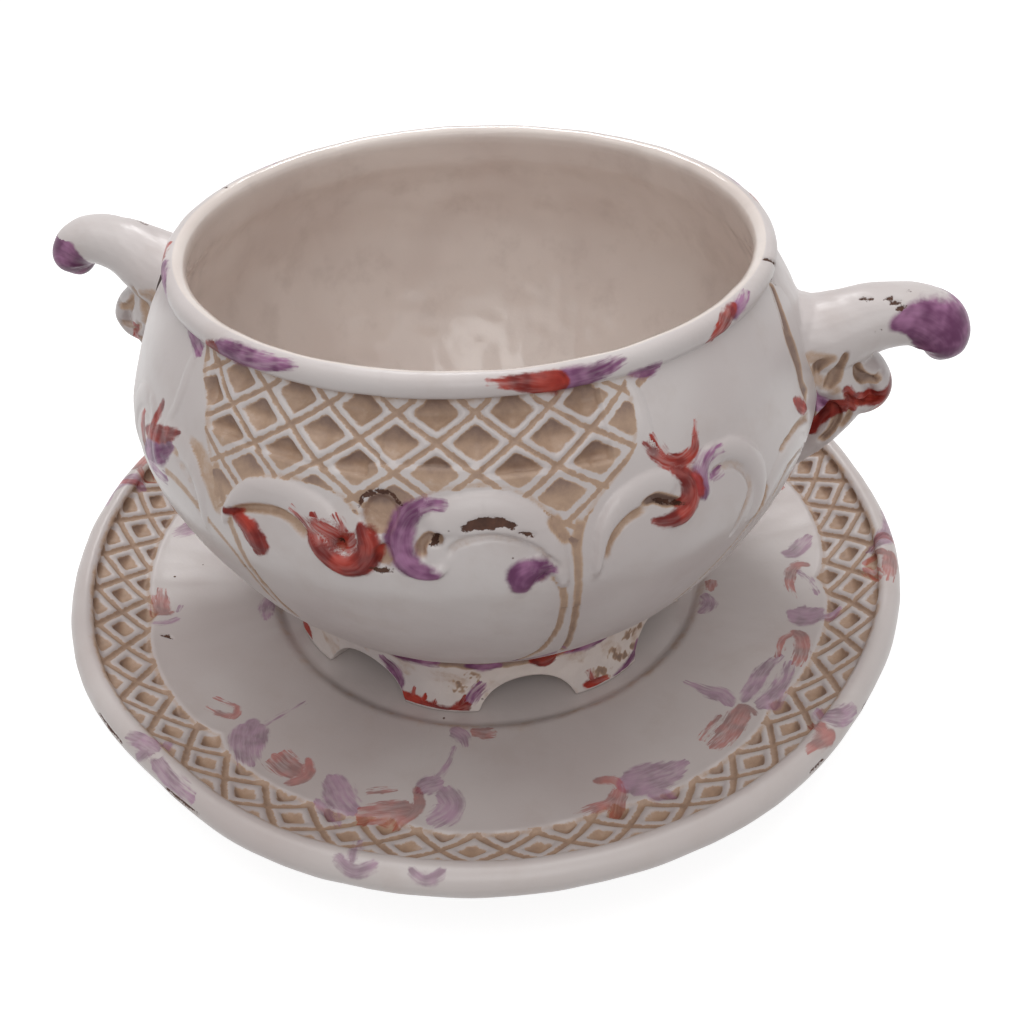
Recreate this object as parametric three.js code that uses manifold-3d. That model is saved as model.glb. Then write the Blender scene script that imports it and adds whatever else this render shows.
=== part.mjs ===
// Cache pot with two scroll handles, standing on arched feet in the well of a round saucer.
// Millimetres, +Z up. The origin is the centre of the table face under the saucer.
// The handles lie along X and the front panel faces -Y.

import * as THREE from 'three';
import { mergeVertices } from 'three/addons/utils/BufferGeometryUtils.js';
import Module from 'manifold-3d';

const wasm = await Module();
wasm.setup();

// Clearance between pieces that touch
const SEAT_GAP = 0.3;

// Saucer
const SAUCER_RADIUS = 153.5;
const SAUCER_WALL = 6;
const RIM_ROLL_RADIUS = 5.5;
const RIM_CREST_HEIGHT = 33.3;
const RIM_DIP_WIDTH = 12;
const RIM_DIPS = [
  { angle: -29, depth: 2.6 },
  { angle: 65, depth: 1.4 },
  { angle: 111, depth: 0.9 },
  { angle: 158, depth: 1.6 },
  { angle: -110, depth: 1.2 },
];
const ROLL_UNDERCUT = 1.4;
const ROLL_LIFT = 1.1;
const BORDER_WIDTH = 23.8;
const BORDER_INNER_HEIGHT = 18.9;
const DISH_SAG = 0.9;
const WELL_MARGIN = 10.5;
const WELL_FLOOR_HEIGHT = 6.5;
const WELL_DEPTH = 3.7;
const WELL_STEP_WIDTH = 2.6;
const BASE_RING_WIDTH = 8;
const BASE_RING_DEPTH = 1.5;
const UNDERSIDE_FILLET = 3;
const SAUCER_SEGMENTS = 64;

// Foot ring
const FOOT_RING_HEIGHT = 21.2;
const FOOT_RING_WALL = 8.5;
const FOOT_TOP_RADIUS = 74.5;
const FOOT_FLARE = 2.8;
const FOOT_FLARE_HEIGHT = 13.8;
const FOOT_SKIRT_HEIGHT = 3.2;
const FOOT_COUNT = 8;
const ARCH_WIDTH = 34;
const ARCH_HEIGHT = 12;
const ARCH_STEPS = 10;
const FLARE_STEPS = 3;
const RING_SEGMENTS = 64;

// Bowl. Its outside swells between the foot seam, the belly and the neck, and each fullness
// gives the point between two of them as a share of the way across and of the way up.
const POT_HEIGHT = 141.5;
const BELLY_RADIUS = 111.3;
const BELLY_BELOW_LIP = 51.3;
const FLANK_FULLNESS = { across: 0.614, up: 0.424 };
const SHOULDER_FULLNESS = { across: 0.415, up: 0.611 };
const LIP_RADIUS = 92.5;
const LIP_BEAD_RADIUS = 3.6;
const LIP_OVERHANG = 1.2;
const NECK_BELOW_LIP = 6.1;
const BOWL_WALL = 6.4;
const BOWL_FLOOR = 6.5;
const FLOOR_FILLET = 6;
const BOWL_SEGMENTS = 56;
const OUTSIDE_STEPS = 14;
const LIP_STEPS = 6;
const FILLET_STEPS = 3;

// Lattice of the bowl's front and back panels. Pits are counted in cells from the first one.
const PANEL_TURNS = [0, 180];
const LATTICE_COLUMNS = 32;
const LATTICE_START = 2.05;
const LATTICE_BELOW_LIP = 14.3;
const LATTICE_ROW_HEIGHT = 14.5;
const PANEL_PITS = [
  { row: 0.5, columns: [-2.5, -1.5, -0.5, 0.5, 1.5, 2.5] },
  { row: 0, columns: [-2, -1, 0, 1, 2] },
  { row: -0.5, columns: [-2.5, -1.5, -0.5, 0.5, 1.5, 2.5] },
  { row: -1, columns: [-2, 0, 2] },
];

// Lattice of the saucer's border
const BORDER_LATTICE_COLUMNS = 48;
const BORDER_LATTICE_START = 3;
const BORDER_LATTICE_SHARE = 0.53;
const BORDER_ROW_HEIGHT = 17.6;

// Lattice pits: opening and floor as shares of a cell
const PIT_OPENING = 0.6;
const PIT_FLOOR = 0.3;
const PIT_DEPTH = 2.4;

// Raised scrolls of a panel: degrees from its middle, distance below the lip, half width
const SCROLL_RELIEF = 1.7;
const SCROLL_SIDES = 8;
const PANEL_SCROLLS = [
  [[6, 32.8, 3.2], [9, 30.1, 4.6], [15.5, 29.3, 5.2], [21.8, 36.3, 3.8], [23.9, 52.3, 1]],
  [[-24.2, 44.3, 0.9], [-22.8, 36.9, 1.8], [-16, 29.9, 3.8], [-8.6, 32.7, 4.8], [-6.4, 36.8, 4.2]],
  [[-8.4, 35.8, 1.8], [-7.2, 41.3, 2.4], [-4.4, 44.1, 2.8], [-1.7, 41.7, 2.8], [-2.1, 32.5, 1.4]],
  [[7.8, 26.8, 1.8], [3.5, 33.1, 3], [3.4, 38.3, 3], [7.4, 43.5, 1.8]],
  [[28, 50.3, 0.9], [29.8, 36.5, 2.2], [35.5, 30.1, 3.6], [41.6, 32.9, 3]],
  [[-28, 50.3, 0.9], [-29.8, 36.5, 2.2], [-35.5, 30.1, 3.6], [-41.6, 32.9, 3]],
];

// Handles
const HANDLE_PROJECTION = 39.6;
const HANDLE_BELOW_LIP = 12.5;
const LEFT_HANDLE_RAISE = 3;
const LEFT_HANDLE_TURN = 2;
const ROOT_SINK = 4.5;
const ROOT_THICKNESS = 30;
const ROOT_WIDTH = 37;
const ARM_THICKNESS = 17.2;
const ARM_WIDTH = 20;
const ARM_RISE = 12;
const KNOB_DROP = 10;
const KNOB_THICKNESS = 15;
const LEAF_PROJECTION = 25.2;
const LEAF_BELOW_ARM = 25.7;
const LEAF_CURL_THICKNESS = 19;
const LEAF_WIDTH = 27;
const LEAF_LENGTH = 37.5;
const LEAF_TIP_THICKNESS = 6;
const HANDLE_SIDES = 14;
const HANDLE_STEPS = 20;
const DOME_SHARE = 0.16;
const DOME_END = 0.12;

// Heights that follow from the sizes above
const footBottom = WELL_FLOOR_HEIGHT + SEAT_GAP;
const footTop = footBottom + FOOT_RING_HEIGHT;
const bowlBottom = footTop + SEAT_GAP;
const lipTop = footBottom + POT_HEIGHT;
const bellyHeight = lipTop - BELLY_BELOW_LIP;
const neckHeight = lipTop - NECK_BELOW_LIP;

// Radii that follow from the sizes above
const footBottomRadius = FOOT_TOP_RADIUS + FOOT_FLARE;
const wellRadius = footBottomRadius + WELL_MARGIN;
const borderInnerRadius = SAUCER_RADIUS - BORDER_WIDTH;
const neckRadius = LIP_RADIUS - LIP_OVERHANG;

// A revolved closed profile, its axis turned from Y to Z
function revolve(points, segments) {
  return new THREE.LatheGeometry(points, segments).rotateX(Math.PI / 2);
}

// Positions only, with shared vertices merged and zero-area faces on the axis dropped
function weld(geometry) {
  geometry.deleteAttribute('normal');
  geometry.deleteAttribute('uv');
  const merged = mergeVertices(geometry);
  const faces = merged.index.array;
  const kept = [];
  for (let i = 0; i < faces.length; i += 3) {
    const [a, b, c] = [faces[i], faces[i + 1], faces[i + 2]];
    if (a !== b && b !== c && c !== a) kept.push(a, b, c);
  }
  merged.setIndex(kept);
  return merged;
}

function toSolid(geometry) {
  const welded = weld(geometry);
  return new wasm.Manifold(new wasm.Mesh({
    numProp: 3,
    vertProperties: new Float32Array(welded.attributes.position.array),
    triVerts: new Uint32Array(welded.index.array),
  }));
}

function toGeometry(solid) {
  const { vertProperties, triVerts } = solid.getMesh();
  const geometry = new THREE.BufferGeometry();
  geometry.setAttribute('position', new THREE.BufferAttribute(vertProperties, 3));
  geometry.setIndex(new THREE.BufferAttribute(triVerts, 1));
  return geometry;
}

// Points of an arc in a profile, angles in degrees from the outward direction
function profileArc(radius, height, size, from, to, steps) {
  const points = [];
  for (let i = 0; i <= steps; i += 1) {
    const angle = THREE.MathUtils.degToRad(from + ((to - from) * i) / steps);
    points.push(new THREE.Vector2(radius + size * Math.cos(angle), height + size * Math.sin(angle)));
  }
  return points;
}

// A curve shifted sideways in its own plane: positive moves it away from the axis
function offsetCurve(curve, distance, steps) {
  const points = [];
  for (let i = 0; i <= steps; i += 1) {
    const along = curve.getTangent(i / steps);
    const at = curve.getPoint(i / steps);
    points.push(new THREE.Vector2(at.x + along.y * distance, at.y - along.x * distance));
  }
  return points;
}

// How far the rim is drawn in at an angle from the front, in degrees
function rimDip(angle) {
  let depth = 0;
  for (const dip of RIM_DIPS) {
    const away = THREE.MathUtils.euclideanModulo(angle - dip.angle + 180, 360) - 180;
    depth += dip.depth * Math.exp(-((away / RIM_DIP_WIDTH) ** 2));
  }
  return depth;
}

// A closed bar from rings of vertices
function tube(vertices, steps, sides) {
  const faces = [];
  for (let i = 0; i < steps; i += 1) {
    for (let k = 0; k < sides; k += 1) {
      const next = (k + 1) % sides;
      const [a, b] = [i * sides + k, i * sides + next];
      const [c, d] = [a + sides, b + sides];
      faces.push(a, c, b, b, c, d);
    }
  }
  const last = steps * sides;
  for (let k = 1; k < sides - 1; k += 1) {
    faces.push(0, k, k + 1, last, last + k + 1, last + k);
  }
  const bar = new THREE.BufferGeometry();
  bar.setAttribute('position', new THREE.Float32BufferAttribute(vertices, 3));
  bar.setIndex(faces);
  return bar;
}

// A place on a turned surface, so far along its profile and so far round from the front.
// Side 1 faces right of the profile's direction, side -1 faces left.
function surfacePlace(curve, distance, angle, side) {
  const at = curve.getPointAt(distance / curve.getLength());
  const along = curve.getTangentAt(distance / curve.getLength());
  const turn = THREE.MathUtils.degToRad(angle);
  return (across, up, out) => {
    const radius = at.x + along.x * up + along.y * out * side;
    const height = at.y + along.y * up - along.x * out * side;
    return [
      radius * Math.sin(turn) + across * Math.cos(turn),
      -radius * Math.cos(turn) + across * Math.sin(turn),
      height,
    ];
  };
}

// A cutter for one diamond pit, standing proud of the surface by half its depth
function pitCutter(place, cellWidth, cellHeight) {
  const slope = (PIT_OPENING - PIT_FLOOR) / PIT_DEPTH;
  const levels = [[PIT_OPENING + (slope * PIT_DEPTH) / 2, PIT_DEPTH / 2], [PIT_FLOOR, -PIT_DEPTH]];
  const corners = [];
  for (const [share, out] of levels) {
    const [across, up] = [(cellWidth / 2) * share, (cellHeight / 2) * share];
    corners.push(place(across, 0, out), place(0, up, out), place(-across, 0, out), place(0, -up, out));
  }
  return wasm.Manifold.hull(corners);
}

// The distance along a rising profile at a height
function climbTo(curve, height) {
  const [points, lengths] = [curve.getPoints(200), curve.getLengths(200)];
  const k = Math.max(1, points.findIndex((point) => point.y >= height));
  const share = (height - points[k - 1].y) / (points[k].y - points[k - 1].y);
  return THREE.MathUtils.lerp(lengths[k - 1], lengths[k], share);
}

function saucerGeometry() {
  const rollRadius = SAUCER_RADIUS - RIM_ROLL_RADIUS;
  const rollHeight = RIM_CREST_HEIGHT - RIM_ROLL_RADIUS;
  const rollInner = rollRadius - RIM_ROLL_RADIUS;
  const ringInner = wellRadius - BASE_RING_WIDTH;
  const wellEdge = new THREE.Vector2(wellRadius, WELL_FLOOR_HEIGHT + WELL_DEPTH);
  const borderEdge = new THREE.Vector2(borderInnerRadius, BORDER_INNER_HEIGHT);
  const halfway = wellEdge.clone().lerp(borderEdge, 0.5);
  const top = new THREE.SplineCurve([
    wellEdge,
    new THREE.Vector2(halfway.x, halfway.y - DISH_SAG),
    borderEdge,
    new THREE.Vector2(rollInner + ROLL_UNDERCUT, rollHeight - ROLL_LIFT),
  ]);
  const underStart = wellRadius + UNDERSIDE_FILLET;
  const under = offsetCurve(top, SAUCER_WALL, 7).filter((point) => point.x > underStart);
  const profile = [
    new THREE.Vector2(0, BASE_RING_DEPTH),
    new THREE.Vector2(ringInner - BASE_RING_DEPTH, BASE_RING_DEPTH),
    new THREE.Vector2(ringInner, 0),
    new THREE.Vector2(wellRadius, 0),
    ...under.slice(0, -1),
    ...profileArc(rollRadius, rollHeight, RIM_ROLL_RADIUS, -95, 175, 10),
    ...top.getPoints(8).reverse(),
    new THREE.Vector2(wellRadius - WELL_STEP_WIDTH, WELL_FLOOR_HEIGHT),
    new THREE.Vector2(0, WELL_FLOOR_HEIGHT),
  ];
  const row = top.getLength() - BORDER_WIDTH * (1 - BORDER_LATTICE_SHARE);
  const cellWidth = (2 * Math.PI * (SAUCER_RADIUS - BORDER_WIDTH / 2)) / BORDER_LATTICE_COLUMNS;
  const cutters = [];
  for (let k = 0; k < BORDER_LATTICE_COLUMNS; k += 1) {
    const angle = BORDER_LATTICE_START + (k / BORDER_LATTICE_COLUMNS) * 360;
    cutters.push(pitCutter(surfacePlace(top, row, angle, -1), cellWidth, BORDER_ROW_HEIGHT));
  }
  const dish = toSolid(revolve(profile, SAUCER_SEGMENTS));
  const geometry = toGeometry(dish.subtract(wasm.Manifold.union(cutters)));
  const position = geometry.attributes.position;
  for (let i = 0; i < position.count; i += 1) {
    const [x, y] = [position.getX(i), position.getY(i)];
    const radius = Math.hypot(x, y);
    const share = Math.max(0, (radius - wellRadius) / (SAUCER_RADIUS - wellRadius));
    const dip = rimDip(THREE.MathUtils.radToDeg(Math.atan2(x, -y))) * share * share;
    const scale = radius > 0 ? (radius - dip) / radius : 1;
    position.setXY(i, x * scale, y * scale);
  }
  return geometry;
}

function footRingGeometry() {
  const inner = FOOT_TOP_RADIUS - FOOT_RING_WALL;
  const skirtTop = footBottom + FOOT_SKIRT_HEIGHT;
  const flare = new THREE.QuadraticBezierCurve(
    new THREE.Vector2(footBottomRadius, skirtTop),
    new THREE.Vector2(FOOT_TOP_RADIUS, skirtTop + FOOT_FLARE_HEIGHT / 2),
    new THREE.Vector2(FOOT_TOP_RADIUS, skirtTop + FOOT_FLARE_HEIGHT),
  );
  const ring = toSolid(revolve([
    new THREE.Vector2(inner, footBottom),
    new THREE.Vector2(footBottomRadius, footBottom),
    ...flare.getPoints(FLARE_STEPS),
    new THREE.Vector2(FOOT_TOP_RADIUS, footTop),
    new THREE.Vector2(inner, footTop),
    new THREE.Vector2(inner, footBottom),
  ], RING_SEGMENTS));
  const arch = new THREE.Shape();
  arch.absellipse(0, footBottom, ARCH_WIDTH / 2, ARCH_HEIGHT, 0, Math.PI);
  arch.lineTo(-ARCH_WIDTH / 2, footBottom - ARCH_HEIGHT);
  arch.lineTo(ARCH_WIDTH / 2, footBottom - ARCH_HEIGHT);
  const depth = footBottomRadius + FOOT_RING_WALL;
  const options = { depth, bevelEnabled: false, curveSegments: ARCH_STEPS };
  const cutters = [];
  for (let k = 0; k < FOOT_COUNT; k += 1) {
    const cutter = new THREE.ExtrudeGeometry(arch, options);
    cutter.rotateX(Math.PI / 2);
    cutter.rotateZ(((k + 0.5) / FOOT_COUNT) * 2 * Math.PI);
    cutters.push(toSolid(cutter));
  }
  return toGeometry(cutters.reduce((left, cutter) => left.subtract(cutter), ring));
}

// The point between two others at its own shares of the way across and up
function between(from, to, share) {
  return new THREE.Vector2(
    THREE.MathUtils.lerp(from.x, to.x, share.across),
    THREE.MathUtils.lerp(from.y, to.y, share.up),
  );
}

// The outside of the bowl from the foot seam to the neck
function bowlOutside() {
  const seam = new THREE.Vector2(FOOT_TOP_RADIUS, bowlBottom);
  const belly = new THREE.Vector2(BELLY_RADIUS, bellyHeight);
  const neck = new THREE.Vector2(neckRadius, neckHeight);
  const flank = between(seam, belly, FLANK_FULLNESS);
  const shoulder = between(belly, neck, SHOULDER_FULLNESS);
  return new THREE.SplineCurve([seam, flank, belly, shoulder, neck]);
}

// A raised scroll: a bar with oval sections that follows the outside of the bowl, half sunk in it
function scrollBar(outside, stations, turn) {
  const path = new THREE.CatmullRomCurve3(stations.map((s) => new THREE.Vector3(...s)));
  const steps = stations.length * 3;
  const rings = path.getPoints(steps).map((station, i) => {
    const place = surfacePlace(outside, climbTo(outside, lipTop - station.y), station.x + turn, 1);
    return { station, place, middle: new THREE.Vector3(...place(0, 0, 0)), end: i === 0 || i === steps };
  });
  const vertices = [];
  rings.forEach(({ station, place, middle, end }, i) => {
    const [before, after] = [rings[Math.max(i - 1, 0)], rings[Math.min(i + 1, steps)]];
    const ahead = after.middle.clone().sub(before.middle).normalize();
    const out = new THREE.Vector3(...place(0, 0, 1)).sub(middle);
    const across = out.clone().cross(ahead).normalize();
    const size = end ? 0.5 : 1;
    for (let k = 0; k < SCROLL_SIDES; k += 1) {
      const angle = (k / SCROLL_SIDES) * 2 * Math.PI;
      const corner = middle.clone()
        .addScaledVector(out, Math.cos(angle) * SCROLL_RELIEF * size)
        .addScaledVector(across, Math.sin(angle) * station.z * size);
      vertices.push(corner.x, corner.y, corner.z);
    }
  });
  return toSolid(tube(vertices, steps, SCROLL_SIDES));
}

// The bowl with its scrolls and lattice pits
function carvedBowl() {
  const outside = bowlOutside();
  const parts = [toSolid(bowlGeometry())];
  const cutters = [];
  const cellWidth = (2 * Math.PI * bowlRadiusAt(lipTop - LATTICE_BELOW_LIP)) / LATTICE_COLUMNS;
  const firstRow = climbTo(outside, lipTop - LATTICE_BELOW_LIP);
  for (const turn of PANEL_TURNS) {
    for (const stations of PANEL_SCROLLS) parts.push(scrollBar(outside, stations, turn));
    for (const { row, columns } of PANEL_PITS) {
      const distance = Math.min(firstRow + row * LATTICE_ROW_HEIGHT, outside.getLength());
      for (const column of columns) {
        const angle = turn + LATTICE_START + (column / LATTICE_COLUMNS) * 360;
        const place = surfacePlace(outside, distance, angle, 1);
        cutters.push(pitCutter(place, cellWidth, LATTICE_ROW_HEIGHT));
      }
    }
  }
  return toGeometry(wasm.Manifold.union(parts).subtract(wasm.Manifold.union(cutters)));
}

function bowlGeometry() {
  const outside = bowlOutside();
  const floor = bowlBottom + BOWL_FLOOR;
  const inside = offsetCurve(outside, -BOWL_WALL, OUTSIDE_STEPS)
    .filter((point) => point.y > floor + FLOOR_FILLET);
  const wallFoot = inside[0];
  const fillet = new THREE.QuadraticBezierCurve(
    wallFoot,
    new THREE.Vector2(wallFoot.x - FLOOR_FILLET / 2, floor),
    new THREE.Vector2(wallFoot.x - FLOOR_FILLET * 2, floor),
  );
  const beadCentre = LIP_RADIUS - LIP_BEAD_RADIUS;
  return weld(revolve([
    new THREE.Vector2(0, bowlBottom),
    ...outside.getPoints(OUTSIDE_STEPS),
    ...profileArc(beadCentre, lipTop - LIP_BEAD_RADIUS, LIP_BEAD_RADIUS, -25, 180, LIP_STEPS),
    ...inside.slice(1).reverse(),
    ...fillet.getPoints(FILLET_STEPS),
    new THREE.Vector2(0, floor),
  ], BOWL_SEGMENTS));
}

// What a handle must stay clear of: the bowl filled up to its axis and grown by the gap
function bowlClearance() {
  const outside = offsetCurve(bowlOutside(), SEAT_GAP, OUTSIDE_STEPS);
  return toSolid(revolve([
    new THREE.Vector2(0, bowlBottom),
    ...outside,
    new THREE.Vector2(LIP_RADIUS + SEAT_GAP, lipTop - LIP_BEAD_RADIUS),
    new THREE.Vector2(0, lipTop),
  ], BOWL_SEGMENTS));
}

// A bar with oval sections along a spine in the XZ plane, each station with its own
// thickness in that plane and width across it. The far end is domed.
function ovalBar(stations) {
  const spine = new THREE.SplineCurve(stations.map((s) => new THREE.Vector2(s.x, s.z)));
  const sizes = new THREE.SplineCurve(stations.map((s) => new THREE.Vector2(s.thickness / 2, s.width / 2)));
  const vertices = [];
  for (let i = 0; i <= HANDLE_STEPS; i += 1) {
    const t = i / HANDLE_STEPS;
    const centre = spine.getPoint(t);
    const along = spine.getTangent(t);
    const size = sizes.getPoint(t);
    const dome = Math.sqrt(Math.max(0, 1 - Math.max(0, (t - 1 + DOME_SHARE) / DOME_SHARE) ** 2));
    const fullness = Math.max(dome, DOME_END);
    for (let k = 0; k < HANDLE_SIDES; k += 1) {
      const angle = (k / HANDLE_SIDES) * 2 * Math.PI;
      const up = Math.cos(angle) * size.x * fullness;
      const across = Math.sin(angle) * size.y * fullness;
      vertices.push(centre.x - along.y * up, across, centre.y + along.x * up);
    }
  }
  return tube(vertices, HANDLE_STEPS, HANDLE_SIDES);
}

// The outer radius of the bowl at a height
function bowlRadiusAt(height) {
  const points = bowlOutside().getPoints(60);
  const k = Math.max(1, points.findIndex((point) => point.y >= height));
  const share = (height - points[k - 1].y) / (points[k].y - points[k - 1].y);
  return points[k - 1].x + share * (points[k].x - points[k - 1].x);
}

// The handle on the +X side: a hooked arm with a drooping knob over a curled leaf.
// Each station says how far out it lies between its root in the wall and the knee of the
// knob. What lies within the wall is cut away later.
function handleSolid() {
  const armLine = lipTop - HANDLE_BELOW_LIP - ARM_THICKNESS / 2;
  const rootLine = armLine - ARM_RISE;
  const rootX = bowlRadiusAt(rootLine) - ROOT_SINK;
  const kneeX = BELLY_RADIUS + HANDLE_PROJECTION - KNOB_THICKNESS / 2;
  const run = kneeX - rootX;
  const armStation = (out, rise, thickness, width) => (
    { x: rootX + run * out, z: rootLine + ARM_RISE * rise, thickness, width });
  const knobStation = (out, drop, thickness, width) => (
    { x: kneeX + run * out, z: armLine - drop, thickness, width });
  const arm = ovalBar([
    armStation(-0.3, -0.02, ROOT_THICKNESS, ROOT_WIDTH * 0.94),
    armStation(0, 0.03, ROOT_THICKNESS, ROOT_WIDTH),
    armStation(0.21, 0.2, ROOT_THICKNESS * 0.92, ROOT_WIDTH * 0.86),
    armStation(0.4, 0.66, ARM_THICKNESS * 1.32, ARM_WIDTH * 1.25),
    armStation(0.59, 0.88, ARM_THICKNESS * 1.16, ARM_WIDTH * 1.08),
    armStation(0.78, 1, ARM_THICKNESS, ARM_WIDTH),
    knobStation(-0.08, KNOB_DROP * 0.18, ARM_THICKNESS, ARM_WIDTH),
    knobStation(0, KNOB_DROP * 0.6, KNOB_THICKNESS, ARM_WIDTH * 0.95),
    knobStation(0, KNOB_DROP + KNOB_THICKNESS / 4, KNOB_THICKNESS, ARM_WIDTH * 0.9),
  ]);
  const curlX = BELLY_RADIUS + LEAF_PROJECTION - LEAF_CURL_THICKNESS / 2;
  const curlZ = armLine - LEAF_BELOW_ARM;
  const tipZ = curlZ - LEAF_LENGTH;
  const tipX = bowlRadiusAt(tipZ) + LEAF_TIP_THICKNESS * 0.2;
  const leafStation = (share, bulge, thickness, width) => ({
    x: THREE.MathUtils.lerp(curlX, tipX, share) + bulge,
    z: THREE.MathUtils.lerp(curlZ, tipZ, share),
    thickness: LEAF_CURL_THICKNESS * thickness,
    width: LEAF_WIDTH * width,
  });
  const leaf = ovalBar([
    { x: rootX, z: rootLine, thickness: LEAF_CURL_THICKNESS, width: LEAF_WIDTH },
    leafStation(-0.13, -LEAF_CURL_THICKNESS * 0.52, 1, 1),
    leafStation(0, 0, 1, 1),
    leafStation(0.18, LEAF_CURL_THICKNESS * 0.14, 0.84, 0.9),
    leafStation(0.38, LEAF_CURL_THICKNESS * 0.1, 0.74, 0.78),
    leafStation(0.62, LEAF_CURL_THICKNESS * 0.04, 0.6, 0.6),
    leafStation(1, 0, LEAF_TIP_THICKNESS / LEAF_CURL_THICKNESS, 0.3),
  ]);
  return toSolid(arm).add(toSolid(leaf));
}

function piece(name, geometry, colour, roughness) {
  const material = new THREE.MeshStandardMaterial({ color: colour, roughness, metalness: 0 });
  const mesh = new THREE.Mesh(geometry, material);
  mesh.name = name;
  return mesh;
}

const glaze = 0xc4bcba;
const warmGlaze = 0xc0b3ad;
const cachePot = new THREE.Group();
cachePot.add(piece('saucer', saucerGeometry(), warmGlaze, 0.4));

const pot = new THREE.Group();
pot.add(piece('pot_body', carvedBowl(), glaze, 0.38));
pot.add(piece('foot_ring', footRingGeometry(), glaze, 0.42));
const handle = handleSolid();
const rightHandle = handle.subtract(bowlClearance());
const leftHandle = handle
  .rotate([0, 0, 180 - LEFT_HANDLE_TURN])
  .translate([0, 0, LEFT_HANDLE_RAISE])
  .subtract(bowlClearance());
pot.add(piece('handle_right', toGeometry(rightHandle), glaze, 0.38));
pot.add(piece('handle_left', toGeometry(leftHandle), glaze, 0.38));
cachePot.add(pot);

export default cachePot;
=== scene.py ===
"""Cache pot with saucer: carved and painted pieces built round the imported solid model.

Angles on the pot and saucer are degrees from the front, turning towards the right handle.
Heights and carving sizes are millimetres, turned into metres when a mesh is made.
"""

import math
from dataclasses import dataclass

import bpy
import numpy as np
from mathutils import Euler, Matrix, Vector


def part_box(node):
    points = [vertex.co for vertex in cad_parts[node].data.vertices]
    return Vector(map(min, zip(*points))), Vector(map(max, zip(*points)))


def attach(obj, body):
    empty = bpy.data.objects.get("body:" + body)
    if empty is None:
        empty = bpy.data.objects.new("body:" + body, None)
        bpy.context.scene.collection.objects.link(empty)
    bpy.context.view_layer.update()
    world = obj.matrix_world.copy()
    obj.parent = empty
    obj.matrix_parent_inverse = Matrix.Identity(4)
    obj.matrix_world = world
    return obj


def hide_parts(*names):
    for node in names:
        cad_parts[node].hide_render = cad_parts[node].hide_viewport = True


bl_info = {
    "name": "Cache Pot Maker",
    "version": (1, 0, 0),
    "blender": (4, 5, 0),
    "location": "3D View > Sidebar > Cache Pot",
    "description": "Carved and painted cache pot with its saucer",
    "category": "Object",
}

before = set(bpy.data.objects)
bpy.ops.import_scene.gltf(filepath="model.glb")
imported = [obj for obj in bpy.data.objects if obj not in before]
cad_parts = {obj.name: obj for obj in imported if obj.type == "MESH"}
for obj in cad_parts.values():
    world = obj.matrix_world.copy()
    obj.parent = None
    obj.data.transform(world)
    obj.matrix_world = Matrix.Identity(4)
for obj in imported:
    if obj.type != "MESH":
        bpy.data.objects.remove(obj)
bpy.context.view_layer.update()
MM = 0.001
FAR = 1e3  # millimetres, stands for nowhere near


def node_box(node):
    """Lowest and highest corner of a solid, in millimetres."""
    low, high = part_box(node)
    return Vector(low) / MM, Vector(high) / MM


# Sizes that the solid model fixes
BOWL_LOW, BOWL_HIGH = node_box("pot_body")
RING_LOW, RING_HIGH = node_box("foot_ring")
SAUCER_HIGH = node_box("saucer")[1]
BELLY_RADIUS = BOWL_HIGH.x
BOWL_BOTTOM = BOWL_LOW.z
LIP_TOP = BOWL_HIGH.z
RING_BOTTOM = RING_LOW.z
RING_TOP = RING_HIGH.z
RING_RADIUS = RING_HIGH.x
SAUCER_RADIUS = 153.5
RIM_CREST = SAUCER_HIGH.z

# Bowl profile
SEAM_RADIUS = 74.5
BELLY_HEIGHT = LIP_TOP - 51.3
FLANK = (97.1, 57.4)
SHOULDER = (103.0, 124.6)
NECK_RADIUS = 91.3
NECK_HEIGHT = LIP_TOP - 6.1
LIP_RADIUS = 92.5
LIP_BEAD = 3.6
BOWL_WALL = 6.4
BOWL_FLOOR = BOWL_BOTTOM + 6.5
FLOOR_CURVE = 6
LIP_CURVE = 7

# Saucer profile
RIM_ROLL = 5.5
RIM_BEAD = 3.2
RIM_BEND = 75
RIM_FOOT = (0.9, 1.4)
BORDER_INNER = (129.7, 18.9)
WELL_EDGE = (87.8, 10.2)
WELL_FLOOR = 6.5
WELL_WALL = ((1.3, 0.5), (2.6, 1.5), (3.8, 2.7), (5.0, 3.5), (6.2, 3.7))
DISH_SAG = 0.9
SAUCER_WALL = 6.0
BASE_RING_WIDTH = 8.0
BASE_RING_DEPTH = 1.5
RIM_DIP_WIDTH = 12.0
RIM_DIPS = ((-29, 2.6), (65, 1.4), (111, 0.9), (158, 1.6), (-110, 1.2))

# Steps between mesh rows
BOWL_STEP = 0.62
SAUCER_STEP = 0.66
INSIDE_STEP = 2.2
UNDER_STEP = 2.5

# How far a tool works from its path, and how deep the clay shows where glaze is chipped
GROOVE_REACH, ROLL_REACH, STROKE_REACH, FLAKE_REACH, OUTLINE_REACH, TAN_REACH = 4.5, 9, 8, 4, 6, 5
CHIP_DEPTH = 0.5
STREAK_SHIFT = 53.7  # sets the streaks of one stroke apart from those of the next
CELL_EDGE = 2.2  # how sharp the corners of a lattice cell are
FRONT_AND_BACK = (0.0, 180.0)
PAINTS = ("red", "lilac")
DEPTHS = PAINTS + ("chip", "pits", "lines")


# Curves and flat patterns

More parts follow.
